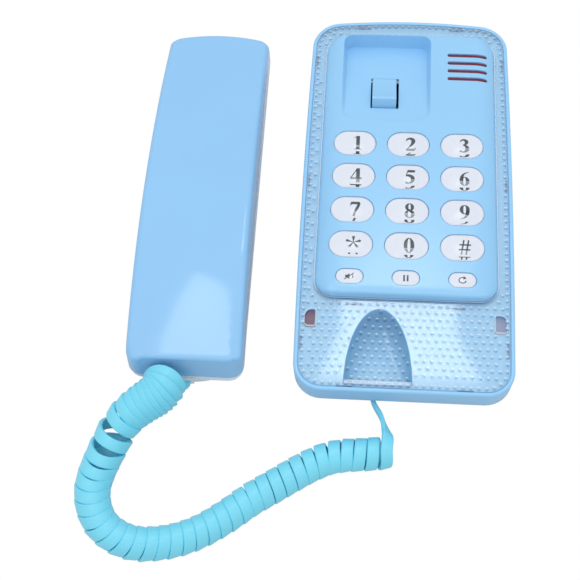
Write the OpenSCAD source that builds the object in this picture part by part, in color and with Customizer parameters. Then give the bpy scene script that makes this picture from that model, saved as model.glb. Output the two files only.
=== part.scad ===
// Compact corded telephone for wall or table, with its handset laid beside it, face down.
// Millimetres. X across, Y from the cord end to the earpiece end, Z up from the table.
// The origin is under the middle of the box round base and handset.

/* [Base] */
// Width of the strip between the raised panel and each side of the base
side_strip = 6.8; // [6.4:0.2:10]
// Length of the base, from its straight end to the far corners
base_l = 191.8; // [184:0.2:206]
// How far each long side swells at its middle
side_bulge = 1.2; // [0.4:0.1:2.4]
// How far the far end swells at its middle
end_bulge = 3.4; // [1:0.2:5]
// Corner radius of the base
base_r = 12; // [8:0.5:16]
// Height of the rim above the table
rim_z = 24; // [22:0.5:28]
// Width of the flat rim round the clear cover
rim_w = 1.8; // [1.4:0.2:3]
// Depth of the upper shell's side wall
skirt_h = 12; // [9:0.5:13]
// Wall of the mouldings
wall = 2; // [1.6:0.1:2.4]
// How far the lower shell stands in from the upper shell's sides
tub_inset = 7; // [5:0.5:9]
// Thickness of the shelf under the clear cover
shelf_t = 1.6; // [1.2:0.1:2]
// Thickness of the clear cover
cover_t = 1.6; // [1.2:0.1:2]
// How far the clear cover lies below the rim
cover_drop = 0.3; // [0:0.1:1]

/* [Raised panel] */
// Width of the panel at its foot
panel_w = 80.4; // [78:0.2:83]
// Length of the panel
panel_l = 139.4; // [136:0.1:142]
// Distance from the panel's far end to the far corners of the base
panel_end_gap = 8.6; // [7:0.1:10]
// Height of the panel's top above the rim
panel_rise = 4.5; // [3.5:0.1:6]
// Radius of the panel's long shoulders
shoulder_r = 4; // [2:0.5:4]
// Corner radius of the panel
panel_r = 8; // [5:0.5:12]
// How far the panel's far end swells at its middle
panel_bulge = 1.2; // [0.6:0.2:3]

/* [Earpiece cradle] */
// Width of the cradle
cradle_w = 41.8; // [38:0.2:44]
// Length of the cradle
cradle_l = 48.5; // [44:0.5:52]
// Depth of the cradle at its far wall
cradle_d = 7.5; // [6.5:0.5:9]
// Distance of the cradle from the panel's left foot
cradle_left = 8.6; // [7:0.2:11]
// Distance of the cradle from the panel's far end
cradle_end = 1.9; // [1.6:0.1:4]
// Corner radius of the cradle
cradle_r = 5; // [3:0.5:7]

/* [Hook lever] */
// Width of the hook lever
lever_w = 12.8; // [10:0.2:15]
// Distance of the lever's middle left of the cradle's middle
lever_off = 1.1; // [0:0.1:3]
// Reach of the lever from its pin to the top of its nose
lever_reach = 15.1; // [13:0.1:17]
// Height of the nose above the cradle's rim
nose_rise = 2.5; // [1.5:0.1:3.5]
// Distance of the lever's pin from the cradle's near end
pin_from_near = 27; // [24:0.5:30]
// Radius of the pin
pin_r = 1; // [0.8:0.1:1.2]
// Radial clearance of the lever on its pin
pin_fit = 0.06; // [0.03:0.01:0.1]

/* [Grille] */
// Number of sound slots
slot_n = 4; // [2:1:6]
// Length of a sound slot
slot_l = 18.4; // [14:0.2:20]
// Width of a sound slot
slot_w = 1.4; // [1:0.1:1.8]
// Spacing of the sound slots
slot_pitch = 4.5; // [3.5:0.1:5.5]
// Distance of the slots from the panel's right foot
slot_right = 3.8; // [3.6:0.2:6]
// Distance of the last slot from the panel's far end
slot_end = 11.2; // [9:0.1:16]

/* [Keys] */
// Distance of the outer keys from the panel's long sides
key_edge = 6; // [5:0.1:7.5]
// Spacing of the key rows
key_py = 17.64; // [16.5:0.02:18.2]
// Width of a number key
key_w = 19; // [17:0.1:20]
// Length of a number key
key_h = 12.6; // [11:0.1:13]
// Width of a function key
fn_w = 12.2; // [10:0.1:14]
// Length of a function key
fn_h = 7.3; // [6:0.1:8]
// Distance of the function keys from the panel's near end
fn_from_near = 8.1; // [7.6:0.1:9]
// Distance of the last number row from the function keys
fn_gap = 15.9; // [14.5:0.1:16]
// Height of a number key above the panel
key_rise = 1.5; // [1.2:0.1:2.5]
// Height of a function key above the panel
fn_rise = 1; // [0.8:0.1:2]
// Travel of a key
key_travel = 1.3; // [0.8:0.1:1.5]
// Gap between a key and its opening
key_gap = 0.3; // [0.2:0.05:0.5]
// Wall of a clear key cap
cap_wall = 1.1; // [0.8:0.1:1.4]

/* [Mouthpiece trough] */
// Width of the trough at its end
trough_w = 29.3; // [26:0.1:32]
// Depth of the trough at its end
trough_d = 5.4; // [4:0.1:6]
// Gap between the panel and the tip of the trough
trough_gap = 5.1; // [4:0.1:8]
// Distance of the trough's end from the end of the base
trough_end = 4; // [3.9:0.1:6]
// Distance of the trough's middle left of the base's middle
trough_off = 10.9; // [8:0.1:12]

/* [Inside the base] */
// Thickness of the circuit board
board_t = 1.6; // [1.2:0.1:2]
// Height of the circuit board's face below the panel's top
board_drop = 7.3; // [7:0.1:8]
// Thickness of the keypad mat
mat_t = 1; // [0.8:0.1:1.2]
// Radius of the ringer disc
ringer_r = 11; // [9:0.5:11]
// Height of the ringer disc
ringer_h = 3.6; // [2.6:0.2:4]
// Radius of the case screws
screw_r = 1.4; // [1.2:0.1:1.5]
// Radius of the board screws
board_screw_r = 1; // [0.8:0.1:1.1]

/* [Underside] */
// Height of the rubber feet
foot_h = 1.5; // [1:0.1:2.5]
// Radius of the rubber feet
foot_r = 5; // [4:0.5:6]
// Spacing of the two wall-mount keyholes
keyhole_pitch = 100; // [80:1:110]
// Radius of a keyhole's round entry
keyhole_r = 4; // [3.5:0.1:5]
// Radius of a keyhole's narrow end
keyhole_neck_r = 2; // [1.6:0.1:2.2]

/* [Jacks and plugs] */
// Width of the handset-cord jacks
jack_w = 10.2; // [9.6:0.1:11]
// Height of the jacks
jack_h = 7; // [6.6:0.1:7.4]
// Depth of the jacks
jack_l = 12; // [11:0.5:14]
// Width of the handset-cord plugs
plug_w = 7.4; // [7:0.1:7.7]
// Height of the handset-cord plugs
plug_h = 4.6; // [4.2:0.1:4.8]
// Width of the line jack
line_jack_w = 12.4; // [12:0.1:14]
// Width of the line jack's opening
line_plug_w = 9.8; // [9.6:0.1:10]
// Clearance round a plug in its jack
plug_fit = 0.1; // [0.05:0.05:0.2]
// Distance of the base's jack left of the base's middle
jack_off = 12.8; // [10:0.1:16]
// Distance of the line jack right of the base's middle
line_jack_off = 22; // [18:0.5:26]

/* [Handset] */
// Gap between the base and the handset laid beside it
handset_gap = 21.2; // [12:0.2:40]
// Width of the handset at its mouthpiece end
handset_w = 51.2; // [49:0.1:56]
// How much narrower the earpiece end is
handset_taper = 1.2; // [0:0.1:4]
// Length of the handset
handset_l = 182; // [176:0.5:190]
// Distance of the handset's middle beyond the base's middle
handset_off = 3.9; // [0:0.1:6]
// Turn of the handset on the table
handset_turn = 0.36; // [0:0.02:2]
// Depth of the back shell at the peak of its arch
back_h = 20.6; // [19:0.1:23]
// Radius of the back shell's arch along the handset
back_arch_r = 355; // [340:5:420]
// Distance of the arch's peak from the handset's middle, towards the mouthpiece
back_peak = 19.3; // [15:0.1:22]
// Corner radius of the mouthpiece end
handset_r = 6.5; // [4:0.5:10]
// Corner radius of the earpiece end
far_r = 5; // [4:0.5:8]
// Radius of the swelling earpiece end
end_round = 76; // [60:2:200]
// Radius along the back shell's edges
back_edge_r = 4.5; // [3:0.5:6]
// Depth of the front shell at the earpiece end
front_h1 = 8.5; // [8:0.1:11]
// Depth of the front shell at the mouthpiece end
front_h0 = 3.6; // [3:0.1:5]
// Width of the earpiece block
block_w = 39; // [36:0.2:40]
// Length of the earpiece block
block_l = 45.5; // [42:0.5:48]
// Height of the earpiece block at its far end
block_h = 4.5; // [3.5:0.1:6]
// Distance of the earpiece block from the handset's end
block_end = 3.5; // [2.5:0.1:6]
// Width of the mouthpiece swelling at its end
swell_w = 27; // [25:0.1:29]
// Height of the mouthpiece swelling at its end
swell_d = 5.6; // [5.4:0.1:6]
// Length of the mouthpiece swelling
swell_l = 36; // [32:0.5:40]
// Radius of the earpiece receiver
receiver_r = 14; // [12:0.5:15]
// Thickness of the earpiece receiver
receiver_t = 5; // [4:0.5:6]
// Radius of the microphone
mic_r = 4.8; // [4:0.1:5]
// Thickness of the microphone
mic_t = 4; // [3:0.1:5]

/* [Cord] */
// Outer diameter of the curly stretch
coil_d = 14.6; // [13:0.2:14.6]
// Width of the flat cord
cord_w = 5; // [4:0.1:5]
// Thickness of the flat cord
cord_t = 2.3; // [2:0.1:2.6]

/* [Hidden] */
NUMBER_KEYS = ["1", "2", "3", "4", "5", "6", "7", "8", "9", "star", "0", "hash"];
FN_KEYS = ["mute", "pause", "redial"];
$fn = 48;
fine = 2880;
eps = 0.01;
slip = 0.15;
far = 400;

// Places of the base and the handset round the origin
base_w = panel_w + 2 * side_strip;
base_full_w = base_w + 2 * side_bulge;
handset_span = handset_w + (handset_l - handset_w) * sin(handset_turn);
row_w = base_full_w + handset_gap + handset_span;
base_x = row_w / 2 - base_full_w / 2;
base_y = -end_bulge / 2;
handset_x = -row_w / 2 + handset_span / 2;
handset_y = base_y + handset_off;

// Levels of the base
cover_z = rim_z - cover_drop;
shelf_z = cover_z - cover_t - slip;
skirt_z = rim_z - skirt_h;
panel_z = rim_z + panel_rise;
under_z = panel_z - wall;
floor_z = foot_h + wall;
board_z = panel_z - board_drop;
mat_z = board_z + mat_t;

// Raised panel, from the base's middle
panel_x = 0.3;
panel_y1 = base_l / 2 - panel_end_gap;
panel_y0 = panel_y1 - panel_l;
panel_x0 = panel_x - panel_w / 2;
panel_x1 = panel_x + panel_w / 2;
end_shoulder_r = 1.6;

// Cradle and hook lever
cradle_x0 = panel_x0 + cradle_left;
cradle_x = cradle_x0 + cradle_w / 2;
cradle_y1 = panel_y1 - cradle_end;
cradle_y0 = cradle_y1 - cradle_l;
ramp = atan(cradle_d / cradle_l);
lever_x = cradle_x - lever_off;
pin_y = cradle_y0 + pin_from_near;
barrel_r = pin_r + 1.4;
pin_z = panel_z - pin_from_near * tan(ramp) - barrel_r - 0.2;
nose_y = pin_y - lever_reach;
nose_z = panel_z + nose_rise;
nose_run = 3.2;
lever_gap = 0.5;
ear_t = 2.6;
spring_room = 3.2;

// Keys
key_px = (panel_w - key_w) / 2 - key_edge;
fn_y = panel_y0 + fn_from_near;
row_y0 = fn_y + fn_gap;
flange = 1;
flange_t = 1;
key_top_z = panel_z + key_rise;
fn_top_z = panel_z + fn_rise;
dome_h = 1.2;
insert_z = mat_z + dome_h + key_travel + slip;
insert_top_z = panel_z - 0.4;
fn_insert_top_z = panel_z - 0.4;

// Trough in the cover and shelf
trough_x = -trough_off;
trough_y1 = panel_y0 - trough_gap;
trough_y0 = -base_l / 2 + trough_end;
trough_r = trough_w / 2;
trough_dip = asin(trough_r / (trough_y1 - trough_y0));

// Clips of the cover
clip_w = 6.4;
clip_t = 0.9;
clip_h = 1.5;
clip_y = [75, 7.5, -74];
clip_x = [-23, 24];

// Latch windows
latch_in = 5.6;
latch_w = 5.2;

// Bosses
side_boss_in = 7;
screw_bite = 5;
boss_r = screw_r + 1.6;
post_r = screw_r + 2.8;
boss_z = floor_z + 6.5;
head_r = screw_r * 2;
head_t = 1.6;
case_screws = [[cradle_x0 + 6.5, cradle_y1 - 7.5], [cradle_x0 + cradle_w - 6.5, cradle_y1 - 7.5],
    [panel_x0 + side_boss_in, panel_y0 - 25], [panel_x1 - side_boss_in, panel_y0 - 25]];
board_boss_r = board_screw_r + 1.4;
key_cross_y = fn_y + (fn_gap - (key_h - fn_h) / 2) / 2;
strip_x0 = cradle_x0 + cradle_w + 2 * wall;
board_screws_xy = [[-key_px / 2, key_cross_y], [key_px / 2, key_cross_y],
    [strip_x0 + board_boss_r + 1, cradle_y1 - 2], [panel_x1 - side_boss_in, cradle_y0 + 1.5]];
board_gap = 3.2;

// Steps of the swelling sides, from the middle to each end
side_steps = 12;

// Underside
tub_y0 = -base_l / 2 + tub_inset;
tub_y1 = base_l / 2 - tub_inset;
tub_x = base_w / 2 - tub_inset;
foot_xy = [for (sx = [-1, 1], sy = [-1, 1]) [sx * (tub_x - foot_r - 2), sy * (tub_y1 - foot_r - 3)]];
keyhole_y = [keyhole_pitch / 2 + 8, -keyhole_pitch / 2 + 8];

// Jacks
jack_z = floor_z + 0.1;
plug_l = 11;
plug_back = 1.5;
line_mouth_h = 4.8;

// Handset, in its own frame: origin at its middle on the joint between its shells, back up
half_l = handset_l / 2;
front_slope = atan((front_h1 - front_h0) / handset_l);
block_y1 = half_l - block_end;
block_y0 = block_y1 - block_l;
swell_y0 = -half_l + 0.6;
swell_y1 = swell_y0 + swell_l;
swell_r = (swell_w * swell_w / 4 + swell_d * swell_d) / (2 * swell_d);
swell_dip = atan(swell_d / swell_l);
block_dip = atan(block_h / block_l);
low_block = front_h1 - (half_l - block_y1) * tan(front_slope) + block_h;
low_swell = front_h0 + (swell_y0 + half_l) * tan(front_slope) + swell_d;
lie = atan((low_block - low_swell) / (block_y1 - swell_y0));
handset_z = low_block * cos(lie) - block_y1 * sin(lie) + 0.02;
edge_out = 0.4;
mouth_top = back_h - back_arch_r + sqrt(pow(back_arch_r, 2) - pow(half_l - back_edge_r - back_peak, 2));
screw_seat = front_h0 - 1.6;
handset_screw_y = [-half_l + 52, half_l - 62];
weight_w = 26;
weight_l = 40;
weight_t = 4;
weight_y0 = handset_screw_y[0] + 14;
handset_jack_z = -front_h0 - swell_d + 0.9;
mic_y = swell_y0 + 21;
receiver_y = (block_y0 + block_y1) / 2 + 2;

// Route of the cord: the curly stretch, then the flat lead to the base, in the model's own frame
COIL_PATH = [[-67.6, -91, 14.4], [-67.7, -93, 14], [-69, -96.5, 12.6], [-72.6, -102, 10.8],
    [-77.5, -107.6, 9.2], [-82.2, -113.4, 8], [-86.2, -120, 7.4], [-89.4, -126.6, 7.4],
    [-92, -134, 7.4], [-93, -141.4, 7.4], [-91.5, -149, 7.4], [-87.4, -156, 7.4],
    [-80, -161, 7.4], [-71.8, -163, 7.4], [-62.7, -162.3, 7.4], [-53.7, -160, 7.4],
    [-44.8, -155.9, 7.4], [-35.3, -149.5, 7.4], [-25.8, -142, 7.4], [-16.4, -135.8, 7.4],
    [-9.5, -131.2, 7.4], [-2.2, -126.6, 7.4], [5.5, -122.8, 7.4], [13, -121, 7.4],
    [21, -120.2, 7.4], [27.5, -119.2, 7.4], [31.4, -118.2, 7.4]];
BASE_LEAD_PATH = [[31.4, -118, 12], [34.4, -116.6, 11.4], [34.6, -113, 9.6], [32, -108, 8],
    [28, -103, 7.1], [24.8, -98, 7], [23.8, -94, 7], [23.8, -92.3, 7]];
HANDSET_LEAD_PATH = [[-59.4, -89.7, 4.4], [-59.4, -92, 4.4], [-60.4, -94.6, 5.4], [-63, -96, 8.2]];
start_grow = 2;
grow_step = 0.4;

function unit(v) = v / norm(v);
function heading(p, i) = unit(p[min(i + 1, len(p) - 1)] - p[max(i - 1, 0)]);
function ring(p, i, r, sides, ref) =
    let (t = heading(p, i), a = unit(cross(t, ref)), b = cross(a, t))
    [for (k = [0:sides - 1]) let (q = 360 * (k + 0.5) / sides) p[i] + r * (cos(q) * a + sin(q) * b)];

// Tube along a list of points, its first rings grown
module tube(path, r, sides, ref = [0, 0, 1], grow = 0) {
    n = len(path);
    points = [for (i = [0:n - 1]) each ring(path, i, r + max(0, grow - i * grow_step), sides, ref)];
    skin = [for (i = [0:n - 2], k = [0:sides - 1])
        let (a = i * sides + k, b = i * sides + (k + 1) % sides)
        each [[b, a, a + sides], [b, a + sides, b + sides]]];
    polyhedron(points, concat([[for (k = [0:sides - 1]) k]],
        skin, [[for (k = [0:sides - 1]) (n - 1) * sides + sides - 1 - k]]));
}

// Piece outside a round corner, cut from an outline
module corner_cut(x, y, r, sx, sy) {
    translate([x, y]) difference() {
        translate([sx > 0 ? 0 : -2 * r, sy > 0 ? 0 : -2 * r]) square(2 * r);
        circle(r);
    }
}

// Outline of the base: straight near end, swelling sides and far end, round corners
module base_outline(inset = 0) {
    half = base_w / 2 - inset;
    y0 = -base_l / 2 + inset;
    y1 = base_l / 2 - inset;
    r = max(base_r - inset, 1);
    side = [for (i = [-side_steps:side_steps]) let (t = i / side_steps)
        [half + side_bulge * (1 - t * t), (base_l / 2 + end_bulge) * t]];
    end_r = (base_w * base_w / 4 + end_bulge * end_bulge) / (2 * end_bulge);
    drop = end_r - sqrt(end_r * end_r - pow(half - r, 2));
    difference() {
        intersection() {
            polygon(concat(side, -side));
            translate([0, y1 + end_bulge - end_r]) circle(end_r, $fn = 256);
            translate([-far / 2, y0]) square([far, far]);
        }
        for (s = [-1, 1]) {
            corner_cut(s * (half - r + side_bulge * 0.22), y0 + r, r, s, -1);
            corner_cut(s * (half - r + side_bulge * 0.25), y1 + end_bulge - drop - r, r, s, 1);
        }
    }
}

module base_slab(inset, z0, z1) {
    translate([0, 0, z0]) linear_extrude(z1 - z0) base_outline(inset);
}

module pill(w, h) {
    square([w - h, h], center = true);
    for (s = [-1, 1]) translate([s * (w - h) / 2, 0]) circle(h / 2);
}

// Outline of the raised panel
module panel_outline(inset = 0) {
    w = panel_w / 2 - inset;
    y0 = panel_y0 + inset;
    y1 = panel_y1 - inset;
    r = max(panel_r - inset, 1);
    end_r = (panel_w * panel_w / 4 + panel_bulge * panel_bulge) / (2 * panel_bulge);
    drop = end_r - sqrt(end_r * end_r - pow(w - r, 2));
    translate([panel_x, 0]) difference() {
        intersection() {
            translate([-w, y0]) square([2 * w, far]);
            translate([0, y1 + panel_bulge - end_r]) circle(end_r, $fn = fine);
        }
        for (s = [-1, 1]) {
            corner_cut(s * (w - r), y0 + r, r, s, -1);
            corner_cut(s * (w - r), y1 + panel_bulge - drop - r, r, s, 1);
        }
    }
}

// Section with its two upper corners round
module dome_section(half, top, r) {
    translate([-half, 0]) square([2 * half, top - r]);
    translate([-half + r, 0]) square([2 * (half - r), top]);
    for (s = [-1, 1]) translate([s * (half - r), top - r]) circle(r);
}

// Solid of the raised panel with round shoulders
module panel_solid() {
    mid_y = (panel_y0 + panel_y1 + panel_bulge) / 2;
    half_y = (panel_y1 + panel_bulge - panel_y0) / 2;
    intersection() {
        translate([0, 0, shelf_z - shelf_t]) linear_extrude(far / 8) panel_outline();
        translate([panel_x, far / 2, 0]) rotate([90, 0, 0]) linear_extrude(far)
            dome_section(panel_w / 2, panel_z, shoulder_r);
        translate([-far / 2, mid_y, 0]) rotate([90, 0, 90]) linear_extrude(far)
            dome_section(half_y, panel_z, end_shoulder_r);
    }
}

// Everything above the cradle's sloping floor, lowered by a wall thickness
module above_ramp(lower) {
    translate([cradle_x, cradle_y0, panel_z]) rotate([-ramp, 0, 0])
        translate([-far / 4, -far / 4, -lower]) cube([far / 2, far / 2, far / 4]);
}

module cradle_outline(grow = 0) {
    w = cradle_w / 2 + grow;
    y1 = cradle_y1 + grow;
    r = cradle_r + grow;
    translate([cradle_x, 0]) difference() {
        translate([-w, cradle_y0 - grow]) square([2 * w, cradle_l + 2 * grow]);
        for (s = [-1, 1]) corner_cut(s * (w - r), y1 - r, r, s, 1);
    }
}

// Trough grown by a wall thickness: a tilted cylinder with a flat floor, half an ellipse from above
module trough(grow, end_grow) {
    intersection() {
        translate([trough_x, trough_y0, cover_z]) rotate([trough_dip, 0, 0])
            translate([0, 80, 0]) rotate([90, 0, 0]) cylinder(r = trough_r + grow, h = 160, $fn = 120);
        translate([trough_x - far / 4, trough_y0 - end_grow, cover_z - trough_d - grow])
            cube([far / 2, panel_y0 - slip - trough_y0 + end_grow, far / 8]);
    }
}

module at_clips() {
    for (s = [-1, 1], y = clip_y) {
        swell = side_bulge * (1 - pow(y / (base_l / 2 + end_bulge), 2));
        translate([s * (base_w / 2 + swell - rim_w - slip - clip_t / 2 - 0.3), y]) children(0);
    }
    for (x = clip_x) translate([x, -base_l / 2 + rim_w + slip + clip_t / 2 + 0.3]) children(1);
    for (x = clip_x) {
        swell = end_bulge * (1 - pow(2 * x / base_w, 2));
        translate([x, base_l / 2 + swell - rim_w - slip - clip_t / 2 - 0.6]) children(1);
    }
}

module clip_blocks(z, h, grow) {
    at_clips() {
        translate([-clip_t / 2 - grow, -clip_w / 2 - grow, z]) cube([clip_t + 2 * grow, clip_w + 2 * grow, h]);
        translate([-clip_w / 2 - grow, -clip_t / 2 - grow, z]) cube([clip_w + 2 * grow, clip_t + 2 * grow, h]);
    }
}

// D-shaped latch window at each side of the lower area
module latch_windows(z, h) {
    for (s = [-1, 1]) translate([s * (base_w / 2 - latch_in), panel_y0 - 10, z])
        linear_extrude(h) intersection() {
            circle(4.4);
            translate([-latch_w / 2, -6]) square([latch_w, 12]);
        }
}

function key_xy(i) = [(i % 3 - 1) * key_px, row_y0 + (3 - floor(i / 3)) * key_py];
function fn_xy(i) = [(i - 1) * key_px, fn_y];

module upper_shell() {
    color("#9ccdf4") translate([base_x, base_y, 0]) difference() {
        union() {
            difference() {
                base_slab(0, skirt_z, rim_z);
                base_slab(rim_w, skirt_z - 1, rim_z + 1);
            }
            difference() {
                base_slab(rim_w - eps, shelf_z - shelf_t, shelf_z);
                translate([0, 0, skirt_z]) linear_extrude(far / 8) panel_outline(wall);
            }
            difference() {
                panel_solid();
                translate([0, 0, skirt_z]) linear_extrude(under_z - skirt_z)
                    panel_outline(wall + shoulder_r / 4);
            }
            intersection() {
                linear_extrude(under_z + eps) cradle_outline(wall);
                above_ramp(wall);
            }
            intersection() {
                trough(cover_t + slip + shelf_t, cover_t + slip + shelf_t - 0.3);
                translate([-far / 2, -far / 2, 0]) cube([far, far, shelf_z]);
                base_slab(rim_w - eps, 0, rim_z);
            }
            for (p = case_screws) translate([p[0], p[1], boss_z + 0.2])
                cylinder(r = boss_r, h = (p[1] > 0 ? under_z : shelf_z - eps) - boss_z - 0.2);
            for (p = board_screws_xy) translate([p[0], p[1], board_z])
                cylinder(r = board_boss_r, h = under_z - board_z + eps);
            lever_ears();
        }
        intersection() {
            linear_extrude(far / 8) cradle_outline();
            above_ramp(0);
        }
        trough(cover_t + slip, cover_t + slip - 0.3);
        translate([lever_x - lever_w / 2 - lever_gap, pin_y - lever_reach - nose_run - 1.1, boss_z])
            cube([lever_w + 2 * lever_gap, lever_reach + nose_run + barrel_r + 1.6, far / 8]);
        pin_rod(pin_r);
        for (i = [0:slot_n - 1]) translate([panel_x1 - slot_right - slot_l / 2,
            panel_y1 - slot_end - i * slot_pitch, board_z + 1]) linear_extrude(far / 8) pill(slot_l, slot_w);
        for (i = [0:11]) translate(concat(key_xy(i), board_z)) linear_extrude(far / 8)
            pill(key_w + 2 * key_gap, key_h + 2 * key_gap);
        for (i = [0:2]) translate(concat(fn_xy(i), board_z)) linear_extrude(far / 8)
            pill(fn_w + 2 * key_gap, fn_h + 2 * key_gap);
        for (p = case_screws) translate([p[0], p[1], boss_z - 1]) cylinder(r = screw_r, h = screw_bite + 2.5);
        for (p = board_screws_xy) translate([p[0], p[1], board_z - 1]) cylinder(r = board_screw_r, h = 4.5);
        clip_blocks(shelf_z - shelf_t - 1, shelf_t + 2, slip);
        latch_windows(shelf_z - shelf_t - 1, shelf_t + 2);
    }
}

// Two ears under the cradle that carry the lever's pin
module lever_ears() {
    for (s = [-1, 1]) intersection() {
        translate([lever_x + s * (lever_w / 2 + lever_gap + ear_t / 2) - ear_t / 2,
            pin_y - barrel_r - 1, pin_z - barrel_r]) cube([ear_t, 2 * barrel_r + 2, 3 * barrel_r]);
        under_ramp();
    }
}

// Everything below the middle of the cradle's sloping floor
module under_ramp() {
    translate([cradle_x, cradle_y0, panel_z]) rotate([-ramp, 0, 0])
        translate([-far / 4, -far / 4, -far / 4 - wall / 2]) cube([far / 2, far / 2, far / 4]);
}

module lower_shell() {
    color("#8fc3ea") translate([base_x, base_y, 0]) difference() {
        union() {
            base_slab(tub_inset, foot_h, skirt_z);
            base_slab(wall + 0.2, skirt_z, skirt_z + wall);
        }
        difference() {
            base_slab(tub_inset + wall, floor_z, rim_z);
            for (p = case_screws) translate([p[0], p[1], 0]) cylinder(r = post_r, h = boss_z);
        }
        for (p = case_screws) translate([p[0], p[1], 0]) {
            cylinder(r = screw_r + 0.2, h = far / 4);
            cylinder(r = head_r + 0.3, h = foot_h + head_t + 0.4);
        }
        for (y = keyhole_y) translate([0, y, 0]) {
            cylinder(r = keyhole_r, h = floor_z + 1);
            translate([-keyhole_neck_r, 0, 0]) cube([2 * keyhole_neck_r, keyhole_r + 5, floor_z + 1]);
            translate([0, keyhole_r + 5, 0]) cylinder(r = keyhole_neck_r, h = floor_z + 1);
        }
        translate([-jack_off - jack_w / 2 - 0.1, tub_y0 - 5, jack_z - 0.1]) cube([jack_w + 0.2, 10, jack_h + 0.2]);
        translate([line_jack_off - line_jack_w / 2 - 0.1, tub_y1 - 5, jack_z - 0.1])
            cube([line_jack_w + 0.2, 12, jack_h + 0.2]);
        trough(cover_t + slip + shelf_t + 0.3, cover_t + slip + shelf_t + 0.3);
    }
}

module clear_cover() {
    color("#c4def0", 0.5) translate([base_x, base_y, 0]) difference() {
        union() {
            base_slab(rim_w + slip, cover_z - cover_t, cover_z);
            intersection() {
                trough(cover_t, cover_t - 0.3);
                translate([-far / 2, -far / 2, 0]) cube([far, far, cover_z]);
            }
            clip_blocks(cover_z - cover_t - clip_h, clip_h + eps, 0);
        }
        linear_extrude(far / 8) panel_outline(-slip);
        trough(0, 0);
        latch_windows(cover_z - cover_t - 1, cover_t + 2);
    }
}

module hook_lever() {
    color("#9ccdf4") translate([base_x, base_y, 0]) difference() {
        union() {
            translate([lever_x - lever_w / 2, 0, 0]) rotate([90, 0, 90]) linear_extrude(lever_w)
                polygon([[pin_y, pin_z + barrel_r], [nose_y, nose_z], [nose_y - nose_run, nose_z - 5],
                    [nose_y - 1.5, nose_z - 8.5], [pin_y, pin_z - barrel_r]]);
            translate([lever_x - lever_w / 2, pin_y, pin_z]) rotate([0, 90, 0])
                cylinder(r = barrel_r, h = lever_w);
        }
        pin_rod(pin_r + pin_fit);
        translate([lever_x + lever_w / 2 - spring_room, pin_y - barrel_r - 0.4, pin_z - barrel_r - 1])
            cube([spring_room + 1, 2 * barrel_r + 1, 2 * barrel_r + 2]);
    }
}

// Rod along the lever's pivot, as long as the pin
module pin_rod(r) {
    length = lever_w + 2 * lever_gap + 2 * ear_t;
    translate([lever_x - length / 2, pin_y, pin_z]) rotate([0, 90, 0]) cylinder(r = r, h = length);
}

module hook_pivot_pin() {
    color("#b9bcc0") translate([base_x, base_y, 0]) pin_rod(pin_r);
}

// Torsion spring wound round the pin beside the lever's barrel
module hook_spring() {
    coil_r = pin_r + 0.55;
    wire_r = 0.25;
    turns = 3;
    start = lever_x + lever_w / 2 - spring_room + 0.5;
    path = [for (a = [0:22.5:360 * turns])
        [start + 2.4 * a / (360 * turns), pin_y + coil_r * cos(a), pin_z + coil_r * sin(a)]];
    color("#a9adb2") translate([base_x, base_y, 0]) tube(path, wire_r, 6, [1, 0, 0]);
}

module hook_switch() {
    color("#3a3d42") translate([base_x + lever_x, base_y + nose_y + 2, floor_z]) {
        translate([-4, -3.5, 0]) cube([8, 7, 9.5]);
        translate([-1.5, -1.2, 9.5]) cube([3, 2.4, 2]);
    }
}

module board_outline() {
    difference() {
        panel_outline(board_gap);
        translate([cradle_x0 - far, cradle_y0 - wall - 0.8])
            square([strip_x0 - cradle_x0 + far, far]);
    }
}

module main_board() {
    color("#7c3a2e") translate([base_x, base_y, board_z - board_t]) difference() {
        linear_extrude(board_t) board_outline();
        for (p = board_screws_xy) translate([p[0], p[1], -1]) cylinder(r = board_screw_r + 0.2, h = board_t + 2);
    }
}

module board_screws() {
    color("#c9ccd0") translate([base_x, base_y, 0]) for (p = board_screws_xy)
        translate([p[0], p[1], board_z - board_t - 1.2]) {
            cylinder(r = board_screw_r, h = board_t + 1.2 + 3.2);
            cylinder(r = board_screw_r * 2, h = 1.2);
        }
}

module keypad_mat() {
    color("#d8d4c8") translate([base_x, base_y, 0]) difference() {
        union() {
            translate([-key_px - key_w / 2 - 0.6, fn_y - fn_h / 2 - 0.6, board_z])
                cube([2 * key_px + key_w + 1.2, row_y0 + 3 * key_py - fn_y + key_h / 2 + fn_h / 2 + 0.8, mat_t]);
            for (i = [0:11]) translate(concat(key_xy(i), mat_z - eps)) cylinder(r1 = 4.2, r2 = 3, h = dome_h + eps);
            for (i = [0:2]) translate(concat(fn_xy(i), mat_z - eps)) cylinder(r1 = 3, r2 = 2.2, h = dome_h + eps);
        }
        for (p = board_screws_xy) translate([p[0], p[1], board_z - 1]) cylinder(r = board_boss_r + 0.3, h = 4);
    }
}

module ringer_disc() {
    x = (strip_x0 + panel_x1 - board_gap) / 2;
    y = panel_y1 - slot_end - (slot_n - 1) / 2 * slot_pitch;
    color("#b8923c") translate([base_x + x, base_y + y, board_z - board_t - ringer_h]) {
        cylinder(r = ringer_r - 1, h = ringer_h);
        cylinder(r = ringer_r, h = 0.6);
    }
}

// Modular jack open towards -Y, its mouth in the middle of its face
module jack(w, h, l, mouth_w, mouth_h, depth) {
    difference() {
        translate([-w / 2, 0, 0]) cube([w, l, h]);
        translate([-mouth_w / 2, -1, (h - mouth_h) / 2]) cube([mouth_w, depth + 1, mouth_h]);
    }
}

module base_jack() {
    color("#5d6066") translate([base_x - jack_off, base_y + tub_y0, jack_z])
        jack(jack_w, jack_h, jack_l, plug_w + 2 * plug_fit, plug_h + 2 * plug_fit, plug_l - plug_back);
}

module line_jack() {
    color("#5d6066") translate([base_x + line_jack_off, base_y + tub_y1, jack_z]) rotate([0, 0, 180])
        jack(line_jack_w, jack_h, jack_l, line_plug_w, line_mouth_h, jack_l - 1.5);
}

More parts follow.
